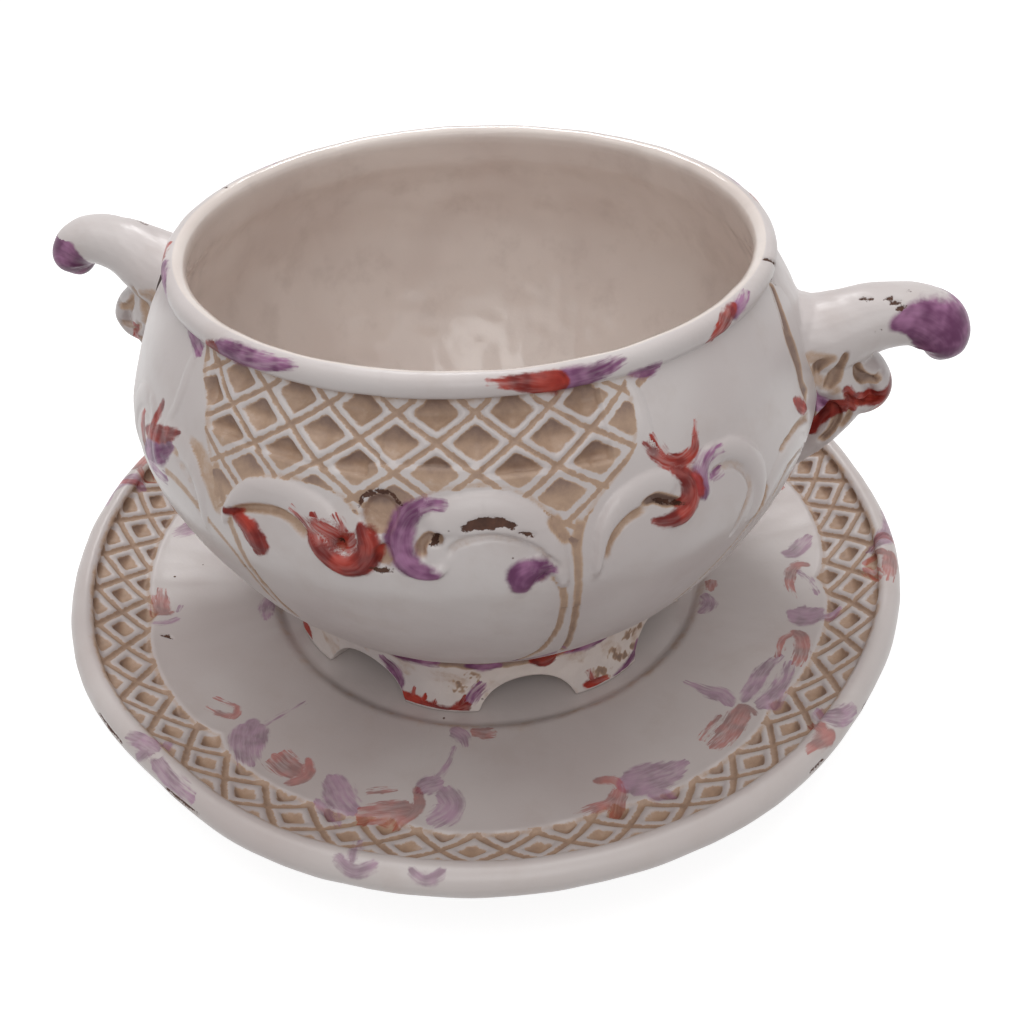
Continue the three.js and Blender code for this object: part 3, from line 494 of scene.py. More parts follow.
SAUCER_STROKES = (
    # Flowers inside the border
    ("red", (0.9, 0.1), ((-67, 43.4, 0.8), (-64, 43.2, 2), (-61.2, 42.6, 2.2))),
    ("red", (0.9, 0.3), ((-65.2, 46.6, 0.6), (-62, 45.6, 1.2), (-60.8, 44.4, 1))),
    ("red", (0.1, 0.3), ((-60.6, 45, 0.7), (-60.4, 42, 0.9), (-60.9, 38.8, 0.6))),
    ("lilac", (0.5, 0.4), ((-58.4, 46.6, 0.8), (-58.4, 42, 1.1), (-59.2, 37.4, 0.9))),
    ("lilac", (0.8, 0.6), ((-62.6, 36.6, 0.5), (-60.8, 37.8, 0.8))),
    ("red", (0.9, 0.3), ((-37.4, 41.6, 0.5), (-35.2, 39.8, 1), (-33.4, 37.6, 1.2))),
    ("red", (0.4, 0.1), ((-32.9, 38, 0.9), (-33.2, 35, 1.2), (-34.6, 32.8, 0.8))),
    ("red", (0.9, 0.3), ((-38.6, 37.2, 0.5), (-36.2, 34.6, 0.7), (-34.8, 33, 0.7))),
    ("lilac", (0.7, 0.2), ((-22.6, 46.8, 1.2), (-25.2, 43, 4.2), (-28, 38, 5.6), (-29.8, 33.6, 3.4))),
    ("red", (1, 0.2), ((-22, 38.6, 3.6), (-19, 39.6, 3.8), (-16.8, 39.6, 2.6))),
    ("red", (0.2, 0.1), ((-16.8, 45.6, 0.9), (-15.6, 41.6, 1.8), (-15.4, 37.6, 1.7), (-17.4, 33.2, 0.9))),
    ("lilac", (0.7, 0.3), ((-5.8, 46.4, 2.6), (-8.4, 42.6, 4.2), (-10.6, 38.6, 3.8), (-12.4, 36, 1.8))),
    ("lilac", (0.6, 0.4), ((-6.4, 52.4, 0.8), (-8.8, 49.6, 1.6), (-11.4, 46.4, 1))),
    ("red", (1, 0.2), ((-5.4, 46.6, 2.2), (-2.4, 43.4, 3.6), (1, 40.6, 3.4))),
    ("red", (0.3, 0.1), ((0, 47.4, 0.9), (2, 42, 1.9), (2.2, 37, 1.8), (1, 31.4, 1))),
    ("red", (0.9, 0.5), ((-6, 37.4, 0.6), (-3.6, 35, 1), (-1.6, 33.4, 0.6))),
    ("lilac", (0.7, 0.3), ((4.4, 45.4, 1.8), (6.2, 41, 4.2), (6.8, 36, 4), (5, 31, 2.4))),
    ("lilac", (0.3, 0.5), ((1.4, 33, 1.2), (2.4, 30.4, 3.4), (4.6, 28, 2.8))),
    ("red", (0.9, 0.2), ((23.6, 45.6, 0.8), (26.6, 44.4, 1.4), (29.4, 43.6, 1.6), (31, 40.4, 1.4))),
    ("red", (0.8, 0.1), ((28.2, 49, 0.9), (29.8, 45, 1.9), (31.4, 40, 1.6), (31, 35.6, 1.6),
        (28.6, 33.8, 0.9))),
    ("lilac", (0.8, 0.1), ((42.2, 41.8, 1.2), (38.6, 41.6, 4.4), (35.2, 40.6, 5.4), (32.6, 39.6, 4))),
    ("lilac", (0.9, 0.3), ((37.4, 51, 0.8), (35.6, 47.6, 2.4), (34.6, 44.4, 2))),
    ("red", (1, 0.1), ((46.4, 42.6, 1.6), (50, 41.6, 3.2), (53.6, 39.8, 3.4), (56.2, 38.6, 2.2))),
    ("red", (0.9, 0.4), ((46.4, 37.2, 0.7), (49.6, 35.4, 1.1), (52.8, 34.4, 0.7))),
    ("red", (0.4, 0.1), ((55.8, 44, 0.6), (56.5, 40.4, 1), (56.4, 36.8, 0.9))),
    ("lilac", (0.3, 0.7), ((57.6, 42.6, 2.2), (60.6, 43.6, 2.8), (64.8, 44, 2), (68.6, 42.6, 1))),
    ("lilac", (0.2, 0.7), ((57.4, 36.6, 1.2), (61, 36, 2.4), (65, 35.8, 2.2), (69.6, 38, 0.9))),
    ("lilac", (0.3, 0.7), ((55.6, 34.4, 1.6), (56.6, 29, 3.4), (56, 23, 2.2), (55.4, 15, 0.7))),
    ("red", (0.9, 0.1), ((67.6, 45.4, 1), (71.4, 44.6, 2.4), (74.4, 42.2, 2.2), (75.4, 39.4, 1.4))),
    ("red", (0.2, 0.8), ((75.4, 40, 1), (73, 36.4, 1.2), (68.6, 37.8, 0.7))),
    ("lilac", (0.2, 0.2), ((80.8, 46.6, 2), (79.6, 42.6, 4.8), (79.8, 39, 4.6), (80.2, 36.4, 2.4))),
    ("lilac", (0.8, 0.3), ((81.6, 53, 0.7), (79.6, 49.6, 1.6), (79, 46.8, 1.4))),
    ("lilac", (0.9, 0.7), ((84.6, 45, 0.7), (88.4, 41.6, 0.9), (91, 38, 0.7))),
    ("red", (0.8, 0.1), ((83.6, 38, 0.7), (87.4, 34.8, 1.4), (90.6, 35.4, 1.8), (92.4, 38.4, 1.8),
        (92, 41.6, 0.9))),
    ("lilac", (0.9, 0.1), ((99.6, 45, 1), (97.6, 41, 3), (95.8, 36.8, 3.2), (96, 34, 1.6))),
    # Fine trails, and touches at the well
    ("lilac", (0.6, 0.9), ((-28.2, 31, 0.6), (-27.6, 14, 0.35))),
    ("lilac", (0.5, 0.8), ((3.6, 27, 1.4), (5, 20, 1), (5.6, 12, 0.7))),
    ("lilac", (0.3, 0.5), ((4.4, 5, 2.2), (7, 8, 2.6), (8, 12, 0.9))),
    ("red", (0.4, 0.7), ((8.6, 5, 1.8), (11.6, 6, 2.2), (14, 6, 1))),
    ("lilac", (0.5, 0.7), ((-63, 4, 1.6), (-59, 6, 2.4), (-55, 7, 0.8))),
    ("lilac", (0.4, 0.6), ((76.4, 4.6, 1.4), (80, 6.4, 2.6), (83.4, 3.6, 1.2))),
    ("red", (0.3, 0.6), ((84.4, 6, 1.2), (88.4, 5.8, 2))),
    # Rim
    ("lilac", (0.6, 0.5), ((-34.8, 75.4, 0.9), (-32.6, 73, 2.4), (-30, 71.6, 2.6))),
    ("lilac", (0.2, 0.5), ((-31.8, 78.4, 0.9), (-30.9, 73, 1.6), (-31.6, 65, 1.4), (-32.4, 61, 0.7))),
    ("lilac", (0.4, 0.8), ((-29, 74.6, 2.4), (-25.4, 75.6, 2.6), (-21.6, 75.4, 1.6))),
    ("lilac", (0.3, 0.3), ((-3.4, 73, 1), (-1.2, 75.6, 1.6), (1, 72.8, 1.2))),
    ("lilac", (0.1, 0.5), ((-1.6, 73, 0.9), (-2.2, 65, 1), (-2.8, 58, 0.6))),
    ("lilac", (0.3, 0.3), ((4.6, 73, 0.9), (6.2, 75.4, 1.4), (8, 73, 1))),
    ("red", (0.7, 0.1), ((51, 72.4, 0.8), (53.4, 73.4, 2.2), (55.2, 74.6, 2.2))),
    ("red", (0.1, 0.5), ((54.8, 75.6, 1.2), (55.2, 70, 1.6), (56.8, 62.4, 0.7))),
    ("lilac", (0.7, 0.4), ((61, 76, 1.6), (58.4, 73.6, 2.8), (57.4, 68.6, 2.2), (59.4, 61.6, 1.4))),
    ("red", (0.9, 0.1), ((83.6, 71.6, 0.7), (86.4, 72.6, 2.2), (89, 73.4, 2.6))),
    ("red", (0.2, 0.7), ((89.2, 72, 1), (90.4, 66.6, 1.2), (89.4, 61.6, 0.8))),
    ("red", (1, 0.8), ((84.4, 68.6, 2), (86.6, 65, 2.2), (88.6, 62, 1.2))),
    ("lilac", (0.7, 0.3), ((99, 76.2, 1.6), (95, 75.4, 2.6), (92.2, 71, 2.6), (92, 64, 1.6))),
    ("red", (0.3, 0.3), ((-88.6, 80.6, 0.8), (-87, 75.6, 1.6), (-87.2, 70, 1.3), (-88.8, 65.4, 0.5))),
)

SAUCER_FLAKES = (
    ((-41, 78.4, 0.5), (-37.6, 78.8, 1), (-35.4, 78.4, 0.5)),
    ((-26, 79, 0.5), (-23.4, 79.2, 0.9), (-20.6, 78.6, 0.4)),
    ((50.4, 78.6, 0.4), (52.6, 78.8, 0.6)),
    ((-55.4, 43.8, 0.5), (-55, 42, 0.8), (-54.4, 41, 0.4)),
    ((62.2, 79.4, 0.5), (63.2, 79.6, 0.6)),
)


@dataclass
class LatticeCut:
    """How a diamond lattice is cut, in millimetres."""
    groove_width: float
    groove_depth: float
    frame_width: float
    pit_depth: float
    sink: float


BOWL_CUT = LatticeCut(0.9, 0.8, 0.95, 2.8, 0.6)
SAUCER_CUT = LatticeCut(1.3, 0.9, 1.7, 2.6, 0.4)


# Meshes

BLANK_DEPTH = -20.0  # what a distance field holds far from every path, once it is on a mesh


def grid_faces(rows, columns, closed=False):
    """Quads between neighbouring rows of a grid that wraps round its columns."""
    row = np.arange(rows if closed else rows - 1)[:, None]
    column = np.arange(columns)[None, :]
    after, over = (column + 1) % columns, (row + 1) % rows
    quads = np.stack([row * columns + column, row * columns + after,
                      over * columns + after, over * columns + column], 2)
    return quads.reshape(-1, 4)


def grid_corners(rows, columns, heights, closed=False):
    """Map coordinates of the same quads: the turn across, the heights up."""
    row = np.arange(rows if closed else rows - 1)[:, None]
    column = np.arange(columns)[None, :]
    low, high = heights[row] + 0 * column, heights[(row + 1) % len(heights)] + 0 * column
    if closed:
        high = np.where(row == rows - 1, 1.0, high)
    left, right = (column + 0 * row) / columns, (column + 1 + 0 * row) / columns
    corners = np.stack([left, low, right, low, right, high, left, high], 2)
    return corners.reshape(-1, 2)


def pole_faces(row_start, columns, pole, upward):
    """Triangles from one row to a single point on the axis."""
    column = np.arange(columns)
    after = (column + 1) % columns
    first, second = (column, after) if upward else (after, column)
    return np.stack([row_start + first, row_start + second, np.full(columns, pole)], 1)


def pole_corners(columns, edge, tip, upward):
    """Map coordinates of the triangles at a pole."""
    left, right = np.arange(columns) / columns, (np.arange(columns) + 1) / columns
    if not upward:
        left, right = right, left
    middle = (left + right) / 2
    flat = np.ones(columns)
    return np.stack([left, edge * flat, right, edge * flat, middle, tip * flat], 1).reshape(-1, 2)


def add_mesh(name, points, blocks, attributes, uv=None):
    """A smooth-shaded object from points in millimetres and blocks of equal faces."""
    mesh = bpy.data.meshes.new(name)
    corners = np.concatenate([block.ravel() for block in blocks]).astype(np.int32)
    totals = np.concatenate([np.full(len(block), block.shape[1]) for block in blocks])
    starts = np.concatenate([[0], np.cumsum(totals)[:-1]]).astype(np.int32)
    mesh.vertices.add(len(points))
    mesh.vertices.foreach_set("co", (points * MM).astype(np.float32).ravel())
    mesh.loops.add(len(corners))
    mesh.loops.foreach_set("vertex_index", corners)
    mesh.polygons.add(len(totals))
    mesh.polygons.foreach_set("loop_start", starts)
    mesh.update(calc_edges=True)
    if uv is not None:
        layer = mesh.uv_layers.new(name="OFBake")
        layer.uv.foreach_set("vector", uv.astype(np.float32).ravel())
    for key, values in attributes.items():
        vector = values.ndim == 2
        store = mesh.attributes.new(key, "FLOAT_VECTOR" if vector else "FLOAT", "POINT")
        flat = np.clip(values, BLANK_DEPTH, FAR * 20).astype(np.float32).ravel()
        store.data.foreach_set("vector" if vector else "value", flat)
    mesh.shade_smooth()
    piece = bpy.data.objects.new(name, mesh)
    bpy.context.scene.collection.objects.link(piece)
    return piece


def layers_of(relief):
    """The relief's colour layers under the names that the glaze material reads."""
    layers = {key: getattr(relief, key) for key in ("stain", "shade", "chip", "pits", "lines")}
    for name in PAINTS:
        layers[name] = relief.paint[name]
        layers[name + "_brush"] = relief.brush[name]
    return layers


def turned(profile, columns):
    """Points and outward directions of a profile turned round the axis."""
    angle = angles(columns)
    ahead = np.gradient(profile, axis=0)
    ahead /= np.maximum(np.hypot(*ahead.T), 1e-9)[:, None]
    outward, upward = ahead[:, 1], -ahead[:, 0]
    ray = np.stack([np.sin(angle), -np.cos(angle)], 1)
    flat = np.zeros((len(profile), columns, 3))
    flat[:, :, :2] = profile[:, None, 0:1] * ray[None]
    flat[:, :, 2] = profile[:, 1:2]
    normal = np.zeros_like(flat)
    normal[:, :, :2] = outward[:, None, None] * ray[None]
    normal[:, :, 2] = upward[:, None]
    return flat, normal


def capped_piece(name, profile, columns, push, layers, start_tip, end_tip):
    """A closed turned piece whose first and last profile points lie on the axis."""
    rows = len(profile)
    flat, normal = turned(profile, columns)
    points = (flat + normal * push[:, :, None]).reshape(-1, 3)
    points = np.vstack([points, [[0, 0, start_tip]], [[0, 0, end_tip]]])
    base, top = len(points) - 2, len(points) - 1
    walked = arc_lengths(profile)
    lead = np.hypot(profile[0, 0], profile[0, 1] - start_tip)
    trail = np.hypot(profile[-1, 0], profile[-1, 1] - end_tip)
    heights = (walked + lead) / (walked[-1] + lead + trail)
    blocks = [grid_faces(rows, columns),
              np.concatenate([pole_faces(0, columns, base, upward=False),
                              pole_faces((rows - 1) * columns, columns, top, upward=True)])]
    uv = np.vstack([grid_corners(rows, columns, heights),
                    pole_corners(columns, edge=heights[0], tip=0.0, upward=False),
                    pole_corners(columns, edge=heights[-1], tip=1.0, upward=True)])
    grown = {}
    for key, values in layers.items():
        blank = -FAR if key in DEPTHS else 0.0
        ends = np.full((2,) + values.shape[1:], blank)
        grown[key] = np.concatenate([values, ends])
    return add_mesh(name, points, blocks, grown, uv)


def spread(relief, first, rows, columns):
    """The colour layers of the carved rows set among all rows of a piece, blank elsewhere."""
    layers = {}
    for key, values in layers_of(relief).items():
        layers[key] = np.full((rows * columns,) + values.shape[1:], -FAR if key in DEPTHS else 0.0)
        layers[key][first * columns:first * columns + len(values)] = values
    return layers


def carved_piece(name, stretches, columns, relief, inside_push, start_tip, end_tip):
    """A turned piece from three profile stretches, the middle one carved."""
    first, carved = len(stretches[0]), len(stretches[1])
    profile = np.vstack(stretches)
    push = np.zeros((len(profile), columns))
    push[first:first + carved] = relief.height.reshape(carved, columns)
    push[first + carved:] = inside_push
    layers = spread(relief, first, len(profile), columns)
    return capped_piece(name, profile, columns, push, layers, start_tip, end_tip)


# The bowl

BOWL_SPREAD = 100.0
BOWL_LATTICE_COUNT = 32
BOWL_LATTICE_TALL = 14.5
BOWL_LATTICE_ROW = 134.0
BOWL_LATTICE_SHIFT = 2.05
INSIDE_ROWS_OF_LIP = 8
INSIDE_SPREAD = 80
INSIDE_DENTS = 0.6


def bowl_outline():
    """Bowl profile in three stretches: underside, outside with lip, inside."""
    outside = even_steps(spline([(SEAM_RADIUS, BOWL_BOTTOM), FLANK, (BELLY_RADIUS, BELLY_HEIGHT),
                                 SHOULDER, (NECK_RADIUS, NECK_HEIGHT)], 0.8), BOWL_STEP)
    bead_x, bead_z = LIP_RADIUS - LIP_BEAD, LIP_TOP - LIP_BEAD
    lip = arc(bead_x, bead_z, LIP_BEAD, start=-25, end=150, steps=22)
    under = level(BOWL_BOTTOM, 8, 25, 42, 56, 66, 71, SEAM_RADIUS - 1.2)
    inner = side_of(outside, -BOWL_WALL)[::-1]
    inner = inner[(inner[:, 1] > BOWL_FLOOR + FLOOR_CURVE) & (inner[:, 1] < NECK_HEIGHT - LIP_CURVE)]
    foot = inner[-1]
    share = np.linspace(0, 1, 9)[1:, None]
    fillet = ((1 - share) ** 2 * foot + 2 * share * (1 - share) * np.array([foot[0] - 3, BOWL_FLOOR])
              + share ** 2 * np.array([foot[0] - 12, BOWL_FLOOR]))
    turned_in = arc(bead_x, bead_z, LIP_BEAD, start=165, end=180, steps=1)
    wall = even_steps(np.vstack([lip[-1:], turned_in, inner]), INSIDE_STEP)
    floor = level(BOWL_FLOOR, 50, 40, 30, 20, 12, 6)
    return under, np.vstack([outside, lip]), np.vstack([wall[1:], fillet, floor])


def carve_panels(relief, turn):
    """Lattice, scrolls and stems of the front or back of the bowl."""
    for depth, wash, points in SCROLL_GROOVES:
        relief.groove(points, depth, wash, turn)
    for height, points in SCROLL_ROLLS:
        relief.roll(points, height, turn)
    for depth, wash, points in SCROLL_GROOVES[:2] + SCROLL_GROOVES[6:]:
        relief.groove(points, depth, wash, turn)
    for pit in ROUND_PITS:
        relief.pit(*pit, turn)
    for mirror, share in ((1, 1.0), (-1, LEFT_SHARE)):
        for height, points in SIDE_ROLLS:
            relief.roll(mirrored(points, mirror), height * share, turn)
        for depth, wash, points in SIDE_GROOVES:
            relief.groove(mirrored(points, mirror), depth * share, wash * share, turn)
        relief.groove(mirrored(ROOT_GROOVE, mirror), 0.8, 1.3, turn)


def mirrored(points, mirror):
    """The same points on the other side of the front."""
    return tuple((a * mirror, h, w) for a, h, w in points)


def bowl_relief(outline, angle):
    """The carved and painted outside of the bowl."""
    along = arc_lengths(outline)
    crest = int(np.argmax(outline[:, 1])) + 1
    radians, up = np.meshgrid(angle, along)
    x = radians.ravel() * BOWL_SPREAD
    relief = Relief(x, up.ravel(), 2 * math.pi * BOWL_SPREAD, lambda a, h: (
        math.radians(a) * BOWL_SPREAD, float(np.interp(h, outline[:crest, 1], along[:crest]))))
    base_row = np.interp(BOWL_LATTICE_ROW, outline[:crest, 1], along[:crest])
    wobble = 0.12 * ripples(x, relief.y, 60, seed=3)
    u = (np.degrees(x / BOWL_SPREAD) - BOWL_LATTICE_SHIFT) / (360 / BOWL_LATTICE_COUNT) + wobble * 0.35
    v = (relief.y - base_row) / BOWL_LATTICE_TALL + wobble * 0.25
    wide = 2 * math.pi * BOWL_SPREAD / BOWL_LATTICE_COUNT
    for turn in FRONT_AND_BACK:
        field = np.minimum(relief.inside(LATTICE_FIELD, turn), relief.spot(0, NECK_HEIGHT + 1)[1] - relief.y)
        relief.lattice(u, v, wide, BOWL_LATTICE_TALL, field, BOWL_CUT)
        carve_panels(relief, turn)
    for turn in FRONT_AND_BACK:
        for colour, fade, points in POT_STROKES:
            relief.stroke(colour, points, fade, turn)
        for points in POT_FLAKES:
            relief.flake(points, turn)
    relief.flake(JOINT_FLAKE)
    relief.soil(0.75 * (1 - ease(0.4, 3.2, relief.y)))
    relief.height += 0.16 * ripples(x, relief.y, 34, seed=5) - CHIP_DEPTH * relief.chipped()
    relief.height -= 0.5 * (1 - ease(0, 1.6, relief.y))
    return relief


# The saucer

SAUCER_SPREAD = 140.0
SAUCER_LATTICE_COUNT = 48
SAUCER_LATTICE_TALL = 17.6
SAUCER_LATTICE_ROW = 56.8
SAUCER_LATTICE_SHIFT = 3.0
WELL_REACH = 4.5
WELL_BROW = 1.6
BORDER_START = 48.0
BORDER_OUTER = 68.4
BORDER_LEDGE = 0.5
SAUCER_BRUSH = 1.25  # its strokes are this much wider than listed
SAUCER_BODY = 0.62  # how far its paint covers the glaze
SCALLOP_COUNT = 12
SCALLOP_DEPTH = 4.6


def saucer_outline():
    """Saucer profile in three stretches: underside, rim and dish, well."""
    roll_x, roll_z = SAUCER_RADIUS - RIM_ROLL, RIM_CREST - RIM_ROLL
    halfway = (np.array(WELL_EDGE) + BORDER_INNER) / 2 - [0, DISH_SAG]
    bend = math.radians(RIM_BEND)
    bead_x = roll_x + (RIM_ROLL - RIM_BEAD) * math.cos(bend)
    bead_z = roll_z + (RIM_ROLL - RIM_BEAD) * math.sin(bend)
    rim_foot = (bead_x - RIM_BEAD - RIM_FOOT[0], bead_z - RIM_FOOT[1])
    top = spline([WELL_EDGE, halfway, BORDER_INNER, rim_foot], 0.8)
    under = side_of(even_steps(top, UNDER_STEP), SAUCER_WALL)
    under = under[(under[:, 0] > WELL_EDGE[0] + 3) & (under[:, 0] < roll_x - 4.5)]
    ring = WELL_EDGE[0] - BASE_RING_WIDTH
    inset = ring - BASE_RING_DEPTH
    base = np.vstack([level(BASE_RING_DEPTH, 10, 35, 60, inset - 1, inset),
                      [(ring - 0.4, 0.3), (ring, 0), (ring + 3, 0), (WELL_EDGE[0] - 1, 0),
                       (WELL_EDGE[0] + 0.6, 0.8)]])
    roll = np.vstack([arc(roll_x, roll_z, RIM_ROLL, start=-95, end=RIM_BEND, steps=34),
                      arc(bead_x, bead_z, RIM_BEAD, start=RIM_BEND + 5, end=165, steps=16)])
    wall = [(WELL_EDGE[0] - off, WELL_EDGE[1] - drop) for off, drop in WELL_WALL]
    crown = even_steps(np.vstack([roll, top[::-1], spline([WELL_EDGE, *wall], 0.5)[1:]]),
                       SAUCER_STEP)
    return np.vstack([base, under]), crown, level(WELL_FLOOR, 81, 76, 66, 50, 34, 18, 7)


def saucer_relief(crown, angle):
    """The carved border and the paint of the saucer's top, laid out by the reach from the well."""
    along = arc_lengths(crown)
    edge = int(np.argmin(np.hypot(*(crown - WELL_EDGE).T)))
    reach = along[edge] + WELL_REACH - along
    radians, across = np.meshgrid(angle, reach)
    x = radians.ravel() * SAUCER_SPREAD
    relief = Relief(x, across.ravel(), 2 * math.pi * SAUCER_SPREAD, lambda a, s: (
        math.radians(a) * SAUCER_SPREAD, s))
    degrees = np.degrees(radians.ravel())
    spacing = 360 / SCALLOP_COUNT
    cusp = np.abs((degrees + 1 + spacing / 2) % spacing - spacing / 2)
    inner = BORDER_START - SCALLOP_DEPTH * np.exp(-cusp / 3.0) + 0.5 * ripples(x, relief.y * 0, 90, seed=11)
    field = np.minimum(relief.y - inner, BORDER_OUTER - relief.y)
    wobble = ripples(x, relief.y, 70, seed=13)
    u = (degrees - SAUCER_LATTICE_SHIFT) / (360 / SAUCER_LATTICE_COUNT) + 0.04 * wobble
    v = (relief.y - SAUCER_LATTICE_ROW) / SAUCER_LATTICE_TALL + 0.03 * wobble
    wide = 2 * math.pi * SAUCER_SPREAD / SAUCER_LATTICE_COUNT
    relief.lattice(u, v, wide, SAUCER_LATTICE_TALL, field, SAUCER_CUT)
    relief.height += BORDER_LEDGE * ease(20, 44, relief.y) * (1 - ease(-0.6, 1.4, relief.y - inner))
    for turn in FRONT_AND_BACK:
        for colour, fade, points in SAUCER_STROKES:
            relief.stroke(colour, [(a, s, w * SAUCER_BRUSH) for a, s, w in points], fade, turn)
        for points in SAUCER_FLAKES:
            relief.flake(points, turn)
    # A brown line along the border's outer edge, and a dark band just inside the well's edge: brown wash with
    # painted shade of the well's wall.
    border_line_and_well_shade = (np.exp(-((relief.y - BORDER_OUTER) / 1.3) ** 2)
              + 0.62 * np.exp(-((relief.y - WELL_BROW) / 3.0) ** 2))
    relief.soil((0.45 + 0.3 * ripples(x, relief.y, 20, seed=43)) * border_line_and_well_shade)
    relief.height += 0.2 * ripples(x, relief.y, 46, seed=17) - CHIP_DEPTH * relief.chipped()
    return relief


def dipped(points):
    """Saucer points drawn in towards the axis where the rim runs out of round."""
    radius = np.hypot(points[:, 0], points[:, 1])
    share = np.clip((radius - WELL_EDGE[0]) / (SAUCER_RADIUS - WELL_EDGE[0]), 0, None)
    degrees = np.degrees(np.arctan2(points[:, 0], -points[:, 1]))
    dip = sum(depth * np.exp(-(((degrees - at + 180) % 360 - 180) / RIM_DIP_WIDTH) ** 2)
              for at, depth in RIM_DIPS)
    scale = 1 - dip * share ** 2 / np.maximum(radius, 1)
    return points * np.stack([scale, scale, np.ones_like(scale)], 1)


# The foot ring

FOOT_COUNT = 8
FOOT_SPACING = 360 / FOOT_COUNT
ARCH_HALF_WIDTH = 17.0
ARCH_RISE = 12.6
ARCH_SHAPE = ((0.0, 1.0), (0.15, 0.985), (0.3, 0.94), (0.45, 0.86), (0.6, 0.74), (0.74, 0.58), (0.86, 0.38),
    (0.94, 0.2), (1.0, 0.0))
RING_WALL = 8.5
OUTER_ROWS = 46
LIFT_OFF = 0.9
RING_BEVEL, INNER_BEVEL, TOE_BEVEL = 0.5, 0.8, 0.25
SKIRT_TOP = RING_BOTTOM + 3.2
FLARE_TOP = RING_BOTTOM + 17.0
# As above, after the feet that have the stroke, counted from the front
FOOT_STROKES = (
    ((0, 3, 5), "red", (0, 0.2), ((-9.8, 9.6, 1.3), (-6.4, 8.4, 2.5), (-2, 7.6, 1.9), (3, 7.4, 1.5),
        (6.4, 8.4, 2.4), (8.6, 10, 1))),
    ((0, 3, 5), "red", (0.1, 0.6), ((-6.8, 9.4, 1.6), (-6.2, 13.8, 0.7))),
    ((0, 3), "red", (0.1, 0.6), ((-3.8, 9, 1.3), (-3.2, 12.2, 0.6))),
    ((0, 5), "red", (0.1, 0.6), ((-0.8, 8.6, 1.1), (-0.3, 11, 0.6))),
    ((0, 3, 5), "red", (0.1, 0.6), ((5.8, 9.4, 1.6), (7.4, 13.6, 0.7))),
    ((1, 2, 4, 6, 7), "red", (0, 0.3), ((-8.2, 9.4, 1.3), (-5, 8.2, 2.2), (-1.6, 7.6, 1.3))),
    ((1, 6), "red", (0.3, 0.6), ((-6.2, 10, 1.2), (-6.8, 15, 1))),
    ((1, 4, 6), "lilac", (0, 0.3), ((0.4, 7.6, 0.9), (4.8, 8.2, 1.4), (8.8, 10.4, 1.6), (10.6, 14, 0.9))),
    ((0, 2, 4, 7), "lilac", (0.2, 0.5), ((-11, 10, 1.4), (-11, 14.4, 2.6), (-12.6, 19, 2.8),
        (-16, 23, 1.8))),
    ((0, 3, 5), "lilac", (0.4, 0.7), ((8, 10.4, 1.8), (9.8, 14.4, 2.6), (12.6, 18.6, 1.8))),
    (range(8), "lilac", (0, 0.4), ((-13, 27, 1), (-8, 26.2, 2), (-3, 26.4, 2.1), (1, 27, 1))),
    (range(0, 8, 2), "lilac", (0.1, 0.4), ((8, 27, 0.9), (12, 26.2, 1.9), (17, 26.8, 1.2))),
    (range(8), "red", (0.2, 0.5), ((-21, 27.2, 0.9), (-16, 27.2, 1.3), (-10, 27.6, 0.8))),
    (range(0, 8, 2), "red", (0, 0.2), ((25, 26.8, 1.2), (28.4, 25, 2.6), (31, 26.4, 1.6))),
)
WORN_FEET = {1: ((-3, 12, 3), (3, 14, 5), (7.6, 15, 5), (10, 20, 4)),
             0: ((4, 16, 2), (9, 20, 3)), 4: ((-8, 15, 4), (-2, 12, 4)),
             6: ((2, 14, 5), (7, 18, 4))}


def arch_rise(degrees):
    """How high the lower edge stands above the feet at an angle."""
    off = degrees % FOOT_SPACING - FOOT_SPACING / 2
    share = np.abs(RING_RADIUS * np.sin(np.radians(off))) / ARCH_HALF_WIDTH
    at, rise = zip(*ARCH_SHAPE)
    return ARCH_RISE * np.interp(share, at, rise)


def foot_points(columns):
    """Rows of the foot ring: up the outside, over the top, down the inside and back."""
    angle = angles(columns)
    degrees = np.degrees(angle)
    low = RING_BOTTOM + arch_rise(degrees)
    off_centre = (degrees + FOOT_SPACING / 2) % FOOT_SPACING - FOOT_SPACING / 2
    toe = np.cos(np.radians(off_centre) * FOOT_COUNT) * 0.5 + 0.5
    inner = SEAM_RADIUS - RING_WALL

    def outer(height):
        share = np.clip((FLARE_TOP - height) / (FLARE_TOP - SKIRT_TOP), 0, 1.25)
        return SEAM_RADIUS + (1.5 + 1.3 * toe) * share ** 2 - 0.5 * ease(26.0, 28.0, height)

    rows = []
    for share in np.linspace(0, 1, OUTER_ROWS):
        height = low + LIFT_OFF + (RING_TOP - RING_BEVEL - low - LIFT_OFF) * share
        rows.append((outer(height), height))
    top = np.full(columns, RING_TOP)
    rows += [(outer(top) - 0.6, top), (outer(top) - 4, top), (np.full(columns, inner + 0.6), top)]
    for share in np.linspace(1, 0, 10):
        height = low + INNER_BEVEL + (RING_TOP - INNER_BEVEL - low - INNER_BEVEL) * share
        rows.append((np.full(columns, inner), height))
    for share in (0.1, 0.5, 0.9):
        rows.append((inner + (outer(low) - inner) * share, low))
    rows.append((outer(low) - TOE_BEVEL, low + TOE_BEVEL))
    radius = np.stack([np.broadcast_to(r, columns) for r, _ in rows])
    height = np.stack([np.broadcast_to(h, columns) for _, h in rows])
    ray = np.stack([np.sin(angle), -np.cos(angle)], 1)
    flat = np.concatenate([radius[:, :, None] * ray[None], height[:, :, None]], 2)
    return flat, ray, angle


